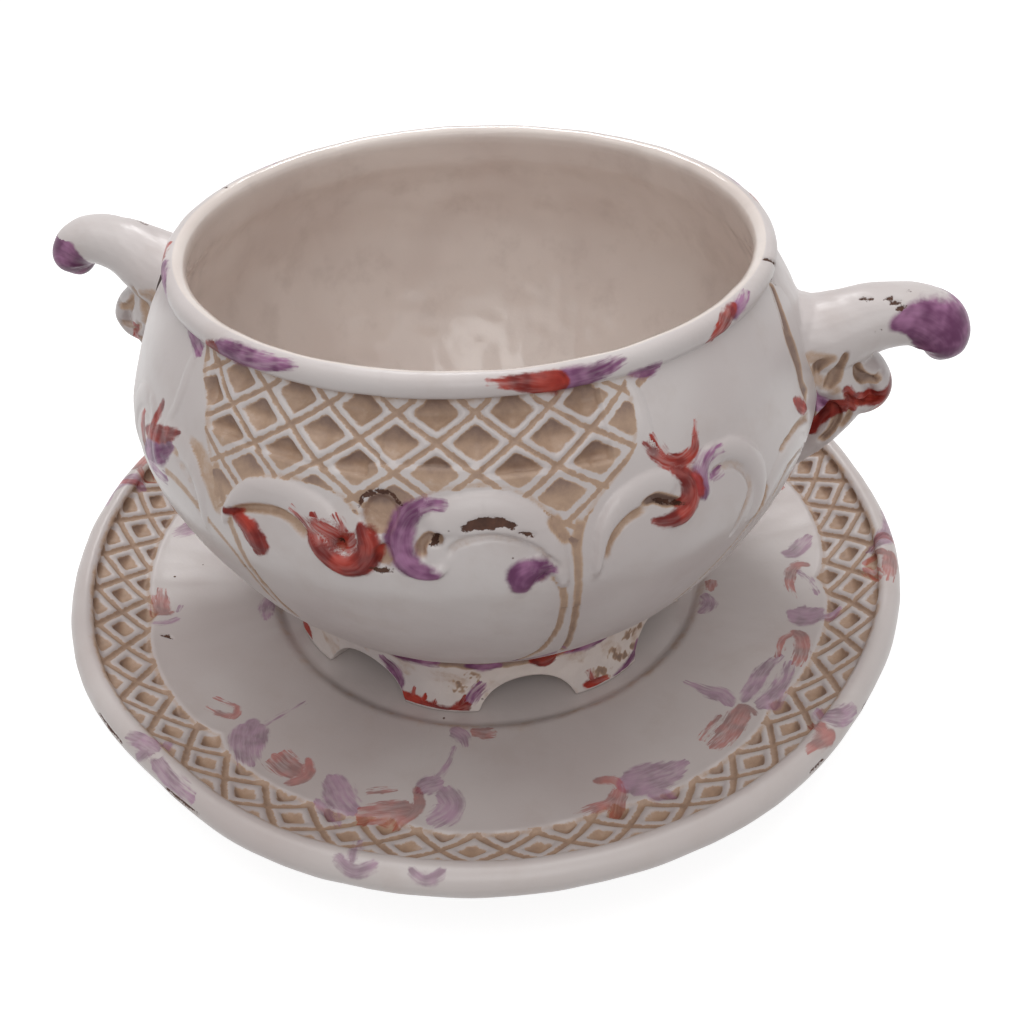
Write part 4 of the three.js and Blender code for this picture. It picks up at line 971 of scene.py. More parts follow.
def foot_relief(flat, angle):
    """Raised edges, grooves and paint on the outside of the foot ring."""
    outside = flat[:OUTER_ROWS]
    x = np.broadcast_to(angle * RING_RADIUS, outside.shape[:2]).ravel()
    relief = Relief(x, outside[:, :, 2].ravel(), 2 * math.pi * RING_RADIUS, lambda a, h: (
        math.radians(a) * RING_RADIUS, h))
    for k in range(FOOT_COUNT):
        turn = FOOT_SPACING * k + (1.5 if k % 2 else -1.0)
        for feet, colour, fade, points in FOOT_STROKES:
            if k in feet:
                relief.stroke(colour, points, fade, turn)
        if k in WORN_FEET:
            relief.flake(WORN_FEET[k], turn, 0.75)
            index, away, _, _, half, _ = relief.near(relief.lay(WORN_FEET[k], turn), FLAKE_REACH)
            patches = ease(-0.1, 0.5, ripples(x[index], relief.y[index], 6, seed=47))
            relief.soil(1.1 * (patches * ease(2.5, -1.0, away - half)), index)
    relief.soil(1.3 * ease(24.6, 27.4, relief.y + 0.9 * ripples(x, relief.y, 16, seed=49)))
    relief.soil(0.34 * ease(0.0, 0.7, ripples(x, relief.y, 18, seed=37)))
    relief.height += 0.25 * ripples(x, relief.y, 26, seed=19) + 0.12 * ripples(x, relief.y, 7, seed=41)
    return relief


# The handles

HANDLE_SIDES = 30
TIP_DOME, ROOT_DOME = 0.14, 0.05
MELT_ROUNDS = 6
SINK = 0.8
# Where a handle meets the bowl: the root is squeezed against the wall, and its sides sink in as a flange
ROOT_SQUEEZE, ROOT_REACH = 0.7, 4
FLANGE_DEPTH, FLANGE_SIDES, FLANGE_HEIGHTS, FLANGE_ENDS = 0.7, (6, 21), (104, 112), (3, 8)
ARM_SLIMMING = 1.1
LEFT_CARVING = 0.6
# Bars of a handle: distance from the axis, height, thickness, width
ARM = ((88, 115.6, 22, 32), (96, 116, 27, 38), (100.8, 115.6, 27, 38.6), (105, 116, 27.2, 36.4),
    (109.5, 117.2, 25.8, 32.4), (115.5, 120.4, 23.6, 28.4), (121.5, 123.8, 21, 24.6), (128, 125.9, 19, 22),
    (134.8, 126.6, 18, 21.2), (140.6, 124.8, 17.8, 21.8), (143.6, 120.6, 17.4, 22),
    (143.4, 116.4, 15.4, 19.6), (142.2, 113.8, 12.4, 15.6))
ROOT = ((86.2, 141, 10, 34), (88.4, 137, 12, 42), (92, 132, 12, 47), (96, 127, 12, 50),
    (100.4, 120, 12, 51), (103.6, 113, 12, 51), (105.4, 106, 10, 44))
LEAF = ((100, 112, 22, 32), (108, 110, 22, 31), (116, 106.6, 19, 27), (120.4, 101, 15, 22),
    (120.6, 95, 13, 19), (117, 87, 12, 18), (111.6, 78.4, 10.8, 15.4), (106.2, 70.5, 8.4, 12),
    (102.4, 64.6, 5, 7))
SCROLL = ((117, 113, 11, 22), (122.6, 110.4, 9, 19), (127.6, 107.2, 8, 16), (130.4, 102.6, 7.6, 15),
    (128.8, 98, 7.6, 15), (124.2, 96.4, 7.6, 16), (119.8, 98.6, 7, 17))
LOBE = ((112, 102, 9, 31), (109.4, 95.6, 9, 30), (108, 88.6, 8, 24), (106.8, 80, 6, 17))
HANDLE_GROOVES = (
    (1.9, 1.1, ((112.4, 119, 0.9), (111, 115, 1.3), (110.8, 110.4, 1.1))),
    (2, 1, ((116.2, 121, 0.9), (115.2, 115, 1.4), (114.8, 109.6, 1.5), (112.2, 105.2, 1.1))),
    (2.4, 1.1, ((120, 115.4, 0.9), (121.4, 111.2, 1.5), (124, 108.6, 1.8), (127.2, 108, 1.6),
        (129.4, 110.4, 1))),
    (1.8, 0.9, ((124.2, 118.2, 1), (126, 115.8, 1.2), (127.6, 113.6, 0.9))),
    (1.6, 0.7, ((118.4, 106, 1), (120.2, 102.6, 1.3), (123.4, 100.2, 1.3), (127.6, 100, 1.1),
        (131.4, 102.4, 0.9))),
    (1.7, 1, ((108.6, 104, 1), (110.6, 98, 1.3), (110.6, 90, 1.2), (108, 80, 1), (105, 72, 0.9))),
    (1.6, 1.1, ((116, 99.6, 1), (118.4, 95, 1.5), (118, 89.4, 1.4), (114.6, 83, 1))),
    (1.3, 0.8, ((121.4, 99.4, 0.9), (122, 94.6, 1.1), (120, 88, 1))),
)
# Place and reach of each chip
HANDLE_CHIPS = ((117.8, -5, 133.6, 1), (119.8, -5.2, 133.4, 0.9), (125.6, -6, 134.4, 1.2),
    (127.2, -7, 133.8, 1.3), (128.8, -8.2, 132.8, 1.1), (131, -3, 135.6, 0.7), (122.5, -11, 125.6, 0.8),
    (124.6, -10.6, 126.8, 0.7), (103, -3, 133.6, 0.9), (142, 9, 124, 1.1), (139, -9, 116, 0.7))
RIGHT_STROKES = (
    ("red", (0.1, 0.1), ((118.6, 107, 1.2), (121.4, 102.8, 2.2), (126.6, 100.8, 2.8), (131.4, 102.2, 2.6),
        (134.4, 106.4, 2), (134.2, 111.4, 1.4))),
    ("red", (0.4, 0.4), ((134, 101.4, 1.6), (130.6, 96.6, 2.2), (127.4, 91.6, 2), (125, 86.6, 1.2))),
    ("red", (0.1, 0.1), ((112, 86.4, 1.6), (113.4, 92.4, 2.8), (116, 96.6, 3.6), (119.6, 99, 3.4),
        (122.6, 97.8, 1.8))),
    ("lilac", (0.3, 0.3), ((108.4, 105.6, 1.2), (110.8, 102, 2.4), (114.4, 99.2, 2))),
    ("red", (0.2, 0.2), ((104.2, 99, 1.6), (106, 102.4, 2), (107.6, 104.2, 1.4))),
    ("red", (0.3, 0.3), ((109.6, 97.6, 1.8), (112, 92.6, 2))),
    ("lilac", (0, 0), ((128.6, 128.6, 2.4), (132.6, 129.2, 4.8), (137.6, 127.8, 6.8), (143.4, 123, 9.8),
        (144, 114.6, 9.6))),
)
LEFT_STROKES = (
    ("lilac", (0.1, 0), ((134.4, 116.6, 2.6), (138.6, 119.6, 6.4), (143.2, 124, 9.8), (146, 120, 10),
        (144.6, 114, 9.2))),
    ("red", (0.3, 0.3), ((122, 103.4, 1.2), (123.6, 99, 2), (125.6, 95, 1.6))),
    ("red", (0.5, 0.3), ((112.6, 88, 1.4), (114, 93, 2.4), (117, 96.8, 2.2))),
    ("lilac", (0.5, 0.5), ((109, 103, 1.2), (111.6, 99.4, 2), (114.8, 97, 1.2))),
)
TAN_PATCHES = (((112, 118, 1.8), (106, 117.6, 2.4), (109.4, 112, 2.6), (115.4, 106, 2.2)),)


def bar(stations):
    """Rings of an oval bar with rounded ends, through stations (x, z, thickness, width)."""
    path = spline(stations, 1.0)
    ahead = np.gradient(path[:, :2], axis=0)
    ahead /= np.hypot(*ahead.T)[:, None]
    share = np.linspace(0, 1, len(path))
    ends = np.minimum(np.clip((1 - share) / TIP_DOME, 0, 1), np.clip(share / ROOT_DOME, 0, 1))
    full = np.maximum(np.sqrt(1 - (1 - ends) ** 2), 0.12)
    turn = angles(HANDLE_SIDES)
    up = np.cos(turn)[None] * (path[:, 2] / 2 * full)[:, None]
    wide = np.sin(turn)[None] * (path[:, 3] / 2 * full)[:, None]
    return np.stack([path[:, 0:1] - ahead[:, 1:2] * up, wide, path[:, 1:2] + ahead[:, 0:1] * up], 2)


def bars_mesh(bars):
    """All bars of a handle as one mesh in metres, ends closed."""
    points, faces, count = [], [], 0
    for stations in bars:
        rings = bar(stations)
        rows, sides = rings.shape[:2]
        points.append(rings.reshape(-1, 3))
        faces += (grid_faces(rows, sides) + count).tolist()
        faces.append((np.arange(sides)[::-1] + count).tolist())
        faces.append((np.arange(sides) + count + (rows - 1) * sides).tolist())
        count += rows * sides
    mesh = bpy.data.meshes.new("handle_bars")
    mesh.from_pydata((np.vstack(points) * MM).tolist(), [], faces)
    return mesh


def melted(mesh, voxel):
    """The bars fused by a voxel remesh and softened, as points, normals and quads."""
    rough = bpy.data.objects.new("handle_rough", mesh)
    bpy.context.scene.collection.objects.link(rough)
    fuse = rough.modifiers.new("Fuse", "REMESH")
    fuse.mode, fuse.voxel_size, fuse.adaptivity = "VOXEL", voxel, 0
    soften = rough.modifiers.new("Soften", "SMOOTH")
    soften.factor, soften.iterations = 0.5, MELT_ROUNDS
    bpy.context.view_layer.update()
    solid = rough.evaluated_get(bpy.context.evaluated_depsgraph_get()).to_mesh()
    points = np.empty(len(solid.vertices) * 3, np.float32)
    solid.vertices.foreach_get("co", points)
    normals = np.empty(len(solid.vertices) * 3, np.float32)
    solid.vertex_normals.foreach_get("vector", normals)
    quads = np.empty(len(solid.loops), np.int32)
    solid.loops.foreach_get("vertex_index", quads)
    points, normals = points.reshape(-1, 3) / MM, normals.reshape(-1, 3)
    bpy.data.objects.remove(rough)
    bpy.data.meshes.remove(mesh)
    return points.astype(float), normals.astype(float), quads.reshape(-1, 4)


def wall_radius(heights):
    """The bowl's outer radius at given heights."""
    outside = bowl_outline()[1]
    crest = int(np.argmax(outside[:, 1])) + 1
    return np.interp(heights, outside[:crest, 1], outside[:crest, 0])


def make_handle(name, strokes, voxel, turn=0.0, rise=0.0, lift=0.0, carving=1.0):
    """One handle: bars fused, carved, painted, set against the bowl and turned into place."""
    arm = []
    for x, z, thick, wide in ARM:
        bent = lift * float(ease(96, 124, x))
        arm.append((x, z + bent, thick - ARM_SLIMMING * bent, wide))
    points, normals, quads = melted(bars_mesh((arm, ROOT, LEAF, SCROLL, LOBE)), voxel)
    relief = Relief(points[:, 0], points[:, 2], 0.0, lambda a, h: (a, h))
    for depth, wash, path in HANDLE_GROOVES:
        relief.groove(path, depth * carving, wash * carving)
    for colour, fade, path in strokes:
        relief.stroke(colour, path, fade)
    for path in TAN_PATCHES:
        index, away, _, _, half, _ = relief.near(relief.lay(path), TAN_REACH)
        relief.soil(0.55 * (1 - ease(half * 0.5, half * 1.4, away)), index)
    for x, y, z, size in HANDLE_CHIPS:
        gap = np.hypot(np.hypot((points[:, 0] - x) * 0.7, points[:, 1] - y), points[:, 2] - z)
        relief.chip = np.maximum(relief.chip, size - gap)
    relief.height += 0.18 * ripples(points[:, 0] + points[:, 1], points[:, 2], 22, seed=23)
    relief.height -= 0.35 * ease(-0.3, 0.6, relief.chip)
    points += normals * relief.height[:, None]
    wall = wall_radius(points[:, 2]) - SINK
    radius = np.maximum(np.hypot(points[:, 0], points[:, 1]), 1)
    # Inside the wall the clay ends SINK deep, and outside it runs out softly, the flange under the glaze
    over = np.maximum(radius - wall - SINK, 0)
    flange = (ease(*FLANGE_SIDES, np.abs(points[:, 1])) * ease(*FLANGE_HEIGHTS, points[:, 2])
              * (1 - ease(*FLANGE_ENDS, over)))
    squeezed = np.maximum(ROOT_SQUEEZE * (1 - ease(0, ROOT_REACH, over)), flange)
    fused = over * (1 - squeezed) - FLANGE_DEPTH * flange
    scale = np.where(radius < wall, wall / radius, 1 + (fused - over) / radius)
    relief.soil(0.9 * ((1 - ease(0.9, 1.8, radius - wall)) * ease(118, 108, points[:, 2])))
    points[:, :2] *= scale[:, None]
    spin = math.radians(turn)
    x, y = points[:, 0].copy(), points[:, 1].copy()
    points[:, 0] = x * math.cos(spin) - y * math.sin(spin)
    points[:, 1] = x * math.sin(spin) + y * math.cos(spin)
    points[:, 2] += rise
    return add_mesh(name, points, [quads], layers_of(relief))


# Materials

POT_BODY = 0.985  # how far the pot's paint covers the glaze
# Display colours from 0 to 255
CLOUD_TINT = (176, 160, 152)
# Brown wash, thin and thick; the thick end is also the painted shade in the upper part of pits and at the
# saucer's well.
WASH_THIN, WASH_THICK_AND_SHADE = (176, 142, 112), (98, 64, 46)
CLAY_DARK, CLAY_LIGHT = (40, 24, 20), (102, 66, 50)
# Streaks of the brush: pitch across and along a stroke, and how far a dry brush draws its edge in
STREAK_ACROSS, STREAK_ALONG = 0.85, 0.12
DRY_BITE = 9.0
EDGE_SOFTNESS = 0.55


def wire(tree, kind, inputs=None, **settings):
    """A shader node with its settings, and inputs given as sockets or values."""
    made = tree.nodes.new(kind)
    for key, value in settings.items():
        setattr(made, key, value)
    for key, value in (inputs or {}).items():
        if isinstance(value, bpy.types.NodeSocket):
            tree.links.new(value, made.inputs[key])
        else:
            made.inputs[key].default_value = value
    return made


def maths(tree, operation, first, second=0.0, third=0.0, clamp=False):
    """The result socket of a Math node."""
    return wire(tree, "ShaderNodeMath", {0: first, 1: second, 2: third}, operation=operation,
                use_clamp=clamp).outputs[0]


def step(tree, value, low, high, to_low=0.0, to_high=1.0):
    """The result socket of a smooth Map Range node."""
    inputs = {"Value": value, "From Min": low, "From Max": high, "To Min": to_low, "To Max": to_high}
    return wire(tree, "ShaderNodeMapRange", inputs, interpolation_type="SMOOTHSTEP").outputs[0]


def blend(tree, factor, first, second):
    """The colour socket of a Mix node, whose sockets 6, 7 and 2 are its two colours and their mix."""
    made = wire(tree, "ShaderNodeMix", {0: factor, 6: first, 7: second}, data_type="RGBA")
    return made.outputs[2]


def noise(tree, vector, scale, detail=3.0, roughness=0.55):
    """The value socket of a Noise node. On object coordinates its scale counts waves in a metre."""
    inputs = {"Vector": vector, "Scale": scale, "Detail": detail, "Roughness": roughness}
    return wire(tree, "ShaderNodeTexNoise", inputs).outputs[0]


def layer(tree, name, vector=False):
    """The socket of a mesh attribute."""
    made = wire(tree, "ShaderNodeAttribute", attribute_name=name, attribute_type="GEOMETRY")
    return made.outputs["Vector" if vector else "Fac"]


def rgb(red, green, blue):
    """A display colour from 0 to 255 as a linear one."""
    parts = [c / 255 for c in (red, green, blue)]
    return (*[c / 12.92 if c <= 0.04045 else ((c + 0.055) / 1.055) ** 2.4 for c in parts], 1.0)


def opaque(colour):
    """A colour setting as a shader colour."""
    return (*colour, 1.0)


def brushed(tree, place, name, pale, deep, soft):
    """Cover and colour of one paint, streaked along its strokes and soft at its edges.

    The attribute that ends in _brush holds the place across and along the stroke, and how dry it is.
    """
    brush = wire(tree, "ShaderNodeSeparateXYZ", {0: layer(tree, name + "_brush", True)})
    streak_at = wire(tree, "ShaderNodeCombineXYZ", {
        0: maths(tree, "MULTIPLY", brush.outputs[0], STREAK_ACROSS),
        1: maths(tree, "MULTIPLY", brush.outputs[1], STREAK_ALONG)})
    streak = noise(tree, streak_at.outputs[0], 1.0, 2.0, 0.6)
    patches = noise(tree, place, 160.0, 2.0)
    edge = maths(tree, "MULTIPLY_ADD", maths(tree, "SUBTRACT", noise(tree, place, 420.0, 3.0), 0.5), 1.6,
                 layer(tree, name))
    dry = maths(tree, "MULTIPLY", brush.outputs[2], maths(tree, "SUBTRACT", streak, 0.46))
    edge = maths(tree, "MULTIPLY_ADD", dry, -DRY_BITE, edge)
    cover = step(tree, edge, -EDGE_SOFTNESS * soft, EDGE_SOFTNESS * soft)
    thin = maths(tree, "MULTIPLY", brush.outputs[2], step(tree, streak, 0.36, 0.66))
    cover = maths(tree, "MULTIPLY", cover, maths(tree, "MULTIPLY_ADD", thin, -0.7, 1.0))
    fresh = maths(tree, "SUBTRACT", 1.0, brush.outputs[2])
    tone = maths(tree, "MULTIPLY_ADD", patches, 1.2, maths(tree, "MULTIPLY", streak, 0.28))
    tone = maths(tree, "MULTIPLY_ADD", fresh, -0.24, tone)
    return cover, blend(tree, step(tree, tone, 0.3, 0.85), opaque(deep), opaque(pale))


def bare_material(name):
    """A material without nodes, its node tree and the socket of the object's coordinates."""
    material = bpy.data.materials.new(name)
    material.use_nodes = True
    material.node_tree.nodes.clear()
    return material, material.node_tree, wire(material.node_tree, "ShaderNodeTexCoord").outputs["Object"]


def glaze_material(name, settings, gloss, light, shade, body=POT_BODY):
    """Warm white glaze over dark clay with brown wash, painted shade in the upper part of pits, brushed
    paint, chips and fine dimples.
    """
    material, tree, place = bare_material(name)
    slow = noise(tree, place, 16.0, 2.0)
    cloudy = noise(tree, place, 60.0, 4.0, 0.6)
    fine = noise(tree, place, 420.0, 3.0, 0.6)
    white = blend(tree, step(tree, slow, 0.35, 0.65), opaque(shade), opaque(light))
    white = blend(tree, step(tree, cloudy, 0.5, 0.75, 0.0, 0.22), white, rgb(*CLOUD_TINT))
    crumb = maths(tree, "SUBTRACT", noise(tree, place, 520.0, 3.0), 0.5)
    pits = step(tree, maths(tree, "MULTIPLY_ADD", crumb, 1.1, layer(tree, "pits")), -0.2, 0.6)
    # Pits hold brown wash, darkened towards their upper rim by the shade layer as painted shade.
    pit_wash_and_shade = maths(tree, "MULTIPLY_ADD", layer(tree, "shade"), 0.55, 0.72)
    lines = step(tree, maths(tree, "MULTIPLY_ADD", crumb, 1.2, layer(tree, "lines")), -0.15, 0.55)
    stain = maths(tree, "MAXIMUM", layer(tree, "stain"), maths(tree, "MULTIPLY", lines, 0.84))
    stain = maths(tree, "MAXIMUM", stain, maths(tree, "MULTIPLY", pits, pit_wash_and_shade))
    uneven = maths(tree, "SUBTRACT", noise(tree, place, 230.0, 4.0, 0.65), 0.5)
    mottled = maths(tree, "MULTIPLY_ADD", uneven, 0.9, stain)
    # The wash colour runs from thin to thick; its dark end also paints the shade in pits and at the saucer's
    # well.
    wash = blend(tree, step(tree, mottled, 0.45, 1.5), rgb(*WASH_THIN), rgb(*WASH_THICK_AND_SHADE))
    colour = blend(tree, maths(tree, "MULTIPLY", step(tree, mottled, 0.12, 0.72), 0.86), white, wash)
    lilac, lilac_colour = brushed(tree, place, "lilac", settings.lilac_pale, settings.lilac_deep, 1.6)
    red, red_colour = brushed(tree, place, "red", settings.red_pale, settings.red_deep, 1.0)
    colour = blend(tree, maths(tree, "MULTIPLY", lilac, body), colour, lilac_colour)
    colour = blend(tree, maths(tree, "MULTIPLY", red, body), colour, red_colour)
    specks = wire(tree, "ShaderNodeTexVoronoi", {"Vector": place, "Scale": 90.0, "Randomness": 1.0})
    rare = step(tree, noise(tree, place, 40.0, 1.0), 0.62, 0.66)
    speck = maths(tree, "MULTIPLY", step(tree, specks.outputs["Distance"], 0.05, 0.03), rare)
    jagged = maths(tree, "SUBTRACT", noise(tree, place, 620.0, 4.0, 0.6), 0.5)
    flaked = maths(tree, "MULTIPLY_ADD", jagged, 2.8, layer(tree, "chip"))
    bare = maths(tree, "MAXIMUM", step(tree, flaked, -0.1, 0.25), speck)
    clay = blend(tree, fine, rgb(*CLAY_DARK), rgb(*CLAY_LIGHT))
    colour = blend(tree, bare, colour, clay)
    rough = maths(tree, "MULTIPLY_ADD", cloudy, 0.16, gloss - 0.08)
    rough = maths(tree, "MULTIPLY_ADD", step(tree, mottled, 0.2, 0.9), 0.14, rough)
    rough = maths(tree, "MULTIPLY_ADD", bare, 0.5, rough, clamp=True)
    dimples = wire(tree, "ShaderNodeBump", {"Height": fine, "Strength": 0.12, "Distance": 0.0004})
    grain = wire(tree, "ShaderNodeBump", {"Height": maths(tree, "SUBTRACT", cloudy, bare), "Strength": 0.3,
                                          "Distance": 0.0005, "Normal": dimples.outputs[0]})
    painted = maths(tree, "MAXIMUM", lilac, red)
    shader = wire(tree, "ShaderNodeBsdfPrincipled", {
        "Base Color": colour, "Roughness": rough, "IOR": 1.5, "Normal": grain.outputs[0],
        "Specular IOR Level": maths(tree, "MULTIPLY_ADD", painted, -0.36, 0.5)})
    output = wire(tree, "ShaderNodeOutputMaterial", {"Surface": shader.outputs[0]})
    output.is_active_output = True
    return material


def backdrop_rays(tree):
    """The socket that is 1 for rays that show the backdrop: direct, mirrored or through glass."""
    path = wire(tree, "ShaderNodeLightPath")
    direct = maths(tree, "MAXIMUM", path.outputs["Is Camera Ray"], path.outputs["Is Transmission Ray"])
    return maths(tree, "MAXIMUM", direct, path.outputs["Is Glossy Ray"])


def backdrop_material(name, tone, glow):
    """Pale matt floor that reads white to the camera and still takes a soft shadow."""
    material, tree, place = bare_material(name)
    faint = blend(tree, noise(tree, place, 3.0), (tone, tone, tone, 1), (tone * 0.99,) * 3 + (1,))
    matt = wire(tree, "ShaderNodeBsdfDiffuse", {"Color": faint})
    light = wire(tree, "ShaderNodeEmission", {"Color": (1, 1, 1, 1), "Strength": glow})
    dark = wire(tree, "ShaderNodeEmission", {"Color": (0, 0, 0, 1), "Strength": 0.0})
    lift = wire(tree, "ShaderNodeMixShader",
                {0: backdrop_rays(tree), 1: dark.outputs[0], 2: light.outputs[0]})
    both = wire(tree, "ShaderNodeAddShader", {0: matt.outputs[0], 1: lift.outputs[0]})
    wire(tree, "ShaderNodeOutputMaterial", {"Surface": both.outputs[0]})
    return material


def dress(piece, body, replaced, materials):
    """Materials, slot, body and replaced solid of a finished piece."""
    for material in materials:
        piece.data.materials.append(material)
    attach(piece, body)
    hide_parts(replaced)


# Settings

def glaze_colour(name, description, *display):
    """A colour setting with its default as a display colour."""
    return bpy.props.FloatVectorProperty(name=name, description=description, subtype="COLOR", min=0, max=1,
                                         default=rgb(*display)[:3])


class CachePotGlaze(bpy.types.PropertyGroup):
    """Colours of the glaze and the paints, and how rough the glaze is"""
    glaze_light: glaze_colour("Light Glaze", "Lighter tone of the white glaze", 203, 195, 193)
    glaze_shade: glaze_colour("Shaded Glaze", "Darker tone of the white glaze", 192, 182, 180)
    # The inside tones are creamier than the outside ones and also lighter: painted light that makes up for
    # the shade inside the bowl.
    inside_light: glaze_colour("Light Inside", "Lighter tone of the cream glaze inside", 226, 215, 208)
    inside_shade: glaze_colour("Shaded Inside", "Darker tone of the cream glaze inside", 216, 203, 196)
    saucer_light: glaze_colour("Light Saucer", "Lighter tone of the saucer's glaze", 196, 187, 184)
    saucer_shade: glaze_colour("Shaded Saucer", "Darker tone of the saucer's glaze", 187, 176, 173)
    lilac_pale: glaze_colour("Pale Lilac", "Thin lilac paint", 164, 114, 150)
    lilac_deep: glaze_colour("Deep Lilac", "Thick lilac paint", 102, 54, 90)
    red_pale: glaze_colour("Pale Red", "Thin orange-red paint", 178, 62, 48)
    red_deep: glaze_colour("Deep Red", "Thick red paint", 108, 28, 25)
    outside_roughness: bpy.props.FloatProperty(
        name="Outside Roughness", description="Roughness of the glaze outside", default=0.33, min=0, max=1,
        subtype="FACTOR")
    inside_roughness: bpy.props.FloatProperty(
        name="Inside Roughness", description="Roughness of the glaze inside the bowl", default=0.11, min=0,
        max=1, subtype="FACTOR")


class CachePotShape(bpy.types.PropertyGroup):
    """Mesh detail, and the place of the left handle"""
    bowl_columns: bpy.props.IntProperty(
        name="Bowl Columns", description="Mesh columns round the bowl", default=1120, min=64)
    saucer_columns: bpy.props.IntProperty(
        name="Saucer Columns", description="Mesh columns round the saucer", default=1280, min=64)
    foot_columns: bpy.props.IntProperty(
        name="Foot Ring Columns", description="Mesh columns round the foot ring", default=1080, min=64)
    handle_voxel: bpy.props.FloatProperty(
        name="Handle Detail", description="Voxel size that fuses the bars of a handle", default=0.0006,
        min=0.0002, unit="LENGTH", precision=4)
    left_turn: bpy.props.FloatProperty(
        name="Left Handle Turn", description="Turn of the left handle about the axis",
        default=math.radians(178), subtype="ANGLE")
    left_rise: bpy.props.FloatProperty(
        name="Left Handle Rise", description="How much higher the left handle sits", default=0.003,
        unit="LENGTH", precision=4)
    left_lift: bpy.props.FloatProperty(
        name="Left Arm Lift", description="How much further the left arm bends up", default=0.0024,
        unit="LENGTH", precision=4)


class CachePotStage(bpy.types.PropertyGroup):
    """Floor, lamps and the light from all round"""
    floor_tone: bpy.props.FloatProperty(
        name="Floor Tone", description="Grey level of the floor", default=0.5, min=0, max=1,
        subtype="FACTOR")
    floor_glow: bpy.props.FloatProperty(
        name="Floor Glow", description="Light added to the floor that the camera sees", default=0.76, min=0)
    overhead_power: bpy.props.FloatProperty(
        name="Overhead Lamp", description="Power of the soft lamp above", default=7.6, unit="POWER")
    front_power: bpy.props.FloatProperty(
        name="Front Lamp", description="Power of the soft lamp on the camera's side", default=4.3,
        unit="POWER")
    window_power: bpy.props.FloatProperty(
        name="Window Lamp", description="Power of the lamp behind the pot", default=3.2, unit="POWER")
    ambient: bpy.props.FloatProperty(
        name="Ambient", description="Grey light from all round", default=0.48, min=0)


# The stage, in metres and degrees

FLOOR_REACH = 6.0
FLOOR_DROP = 0.0002
LENS, SENSOR = 32.256, 36.0
CAMERA_PLACE = (0.0675, -0.2651, 0.2614)
CAMERA_TURN = (49.756, 1.374, 11.017)
LAMPS = (("overhead", (-0.1, 0.1, 1.5), (0, 0, 0.08), 1.2),
         ("front", (0.3, -1.1, 1.2), (0, 0, 0.06), 0.8),
         ("window", (-0.25, 0.75, 1.0), (0, 0, 0.1), 0.3))


def add_area(name, place, target, size, power):
    """A square soft lamp turned towards a point."""
    light = bpy.data.lights.new(name, "AREA")
    light.shape, light.size, light.energy = "SQUARE", size, power
    lamp = bpy.data.objects.new(name, light)
    lamp.location = place
    lamp.rotation_euler = (Vector(target) - Vector(place)).to_track_quat("-Z", "Y").to_euler()
    bpy.context.scene.collection.objects.link(lamp)


# Operators

class CACHEPOT_OT_bowl(bpy.types.Operator):
    """Build the carved bowl with its lip, inside and floor"""
    bl_idname = "cachepot.bowl"
    bl_label = "Bowl"

    def execute(self, context):
        shape, glaze = context.scene.cachepot_shape, context.scene.cachepot_glaze
        columns = shape.bowl_columns
        under, outside, inside = bowl_outline()
        angle = angles(columns)
        radians, along = np.meshgrid(angle, arc_lengths(inside))
        across = radians * INSIDE_SPREAD
        dents = ripples(across, along, 70, seed=29) + 0.5 * ripples(across, along, 24, seed=31)
        piece = carved_piece("carved_bowl", (under, outside, inside), columns, bowl_relief(outside, angle),
                             INSIDE_DENTS * dents * ease(2, 16, along), BOWL_BOTTOM, BOWL_FLOOR)
        dress(piece, "pot", "pot_body", (
            glaze_material("bowl outside", glaze, glaze.outside_roughness, glaze.glaze_light,
                           glaze.glaze_shade),
            # The inside's lighter tones are partly painted light against the shade inside the bowl.
            glaze_material("bowl inside", glaze, glaze.inside_roughness, glaze.inside_light,
                           glaze.inside_shade)))
        # The inside glaze starts on the lip; the faces at the bottom's centre come after all rows
        carved, rows = len(under) + len(outside), len(under) + len(outside) + len(inside)
        indices = np.zeros(len(piece.data.polygons), np.int32)
        indices[(carved - INSIDE_ROWS_OF_LIP) * columns:] = 1
        indices[(rows - 1) * columns:rows * columns] = 0
        piece.data.polygons.foreach_set("material_index", indices)
        return {"FINISHED"}


class CACHEPOT_OT_foot_ring(bpy.types.Operator):
    """Build the foot ring with its eight arched feet"""
    bl_idname = "cachepot.foot_ring"
    bl_label = "Foot Ring"

    def execute(self, context):
        shape, glaze = context.scene.cachepot_shape, context.scene.cachepot_glaze
        columns = shape.foot_columns
        flat, ray, angle = foot_points(columns)
        relief = foot_relief(flat, angle)
        flat[:OUTER_ROWS, :, :2] += relief.height.reshape(OUTER_ROWS, columns)[:, :, None] * ray[None]
        rows = len(flat)
        piece = add_mesh("arched_foot_ring", flat.reshape(-1, 3), [grid_faces(rows, columns, closed=True)],
                         spread(relief, 0, rows, columns),
                         grid_corners(rows, columns, np.arange(rows) / rows, closed=True))
        # The foot ring takes lighter tones than the rest of the outside: painted light that lifts it out of
        # the shade under the belly.
        dress(piece, "pot", "foot_ring",
              (glaze_material("foot ring glaze", glaze, glaze.outside_roughness, glaze.inside_light,
                              glaze.glaze_light),))
        return {"FINISHED"}


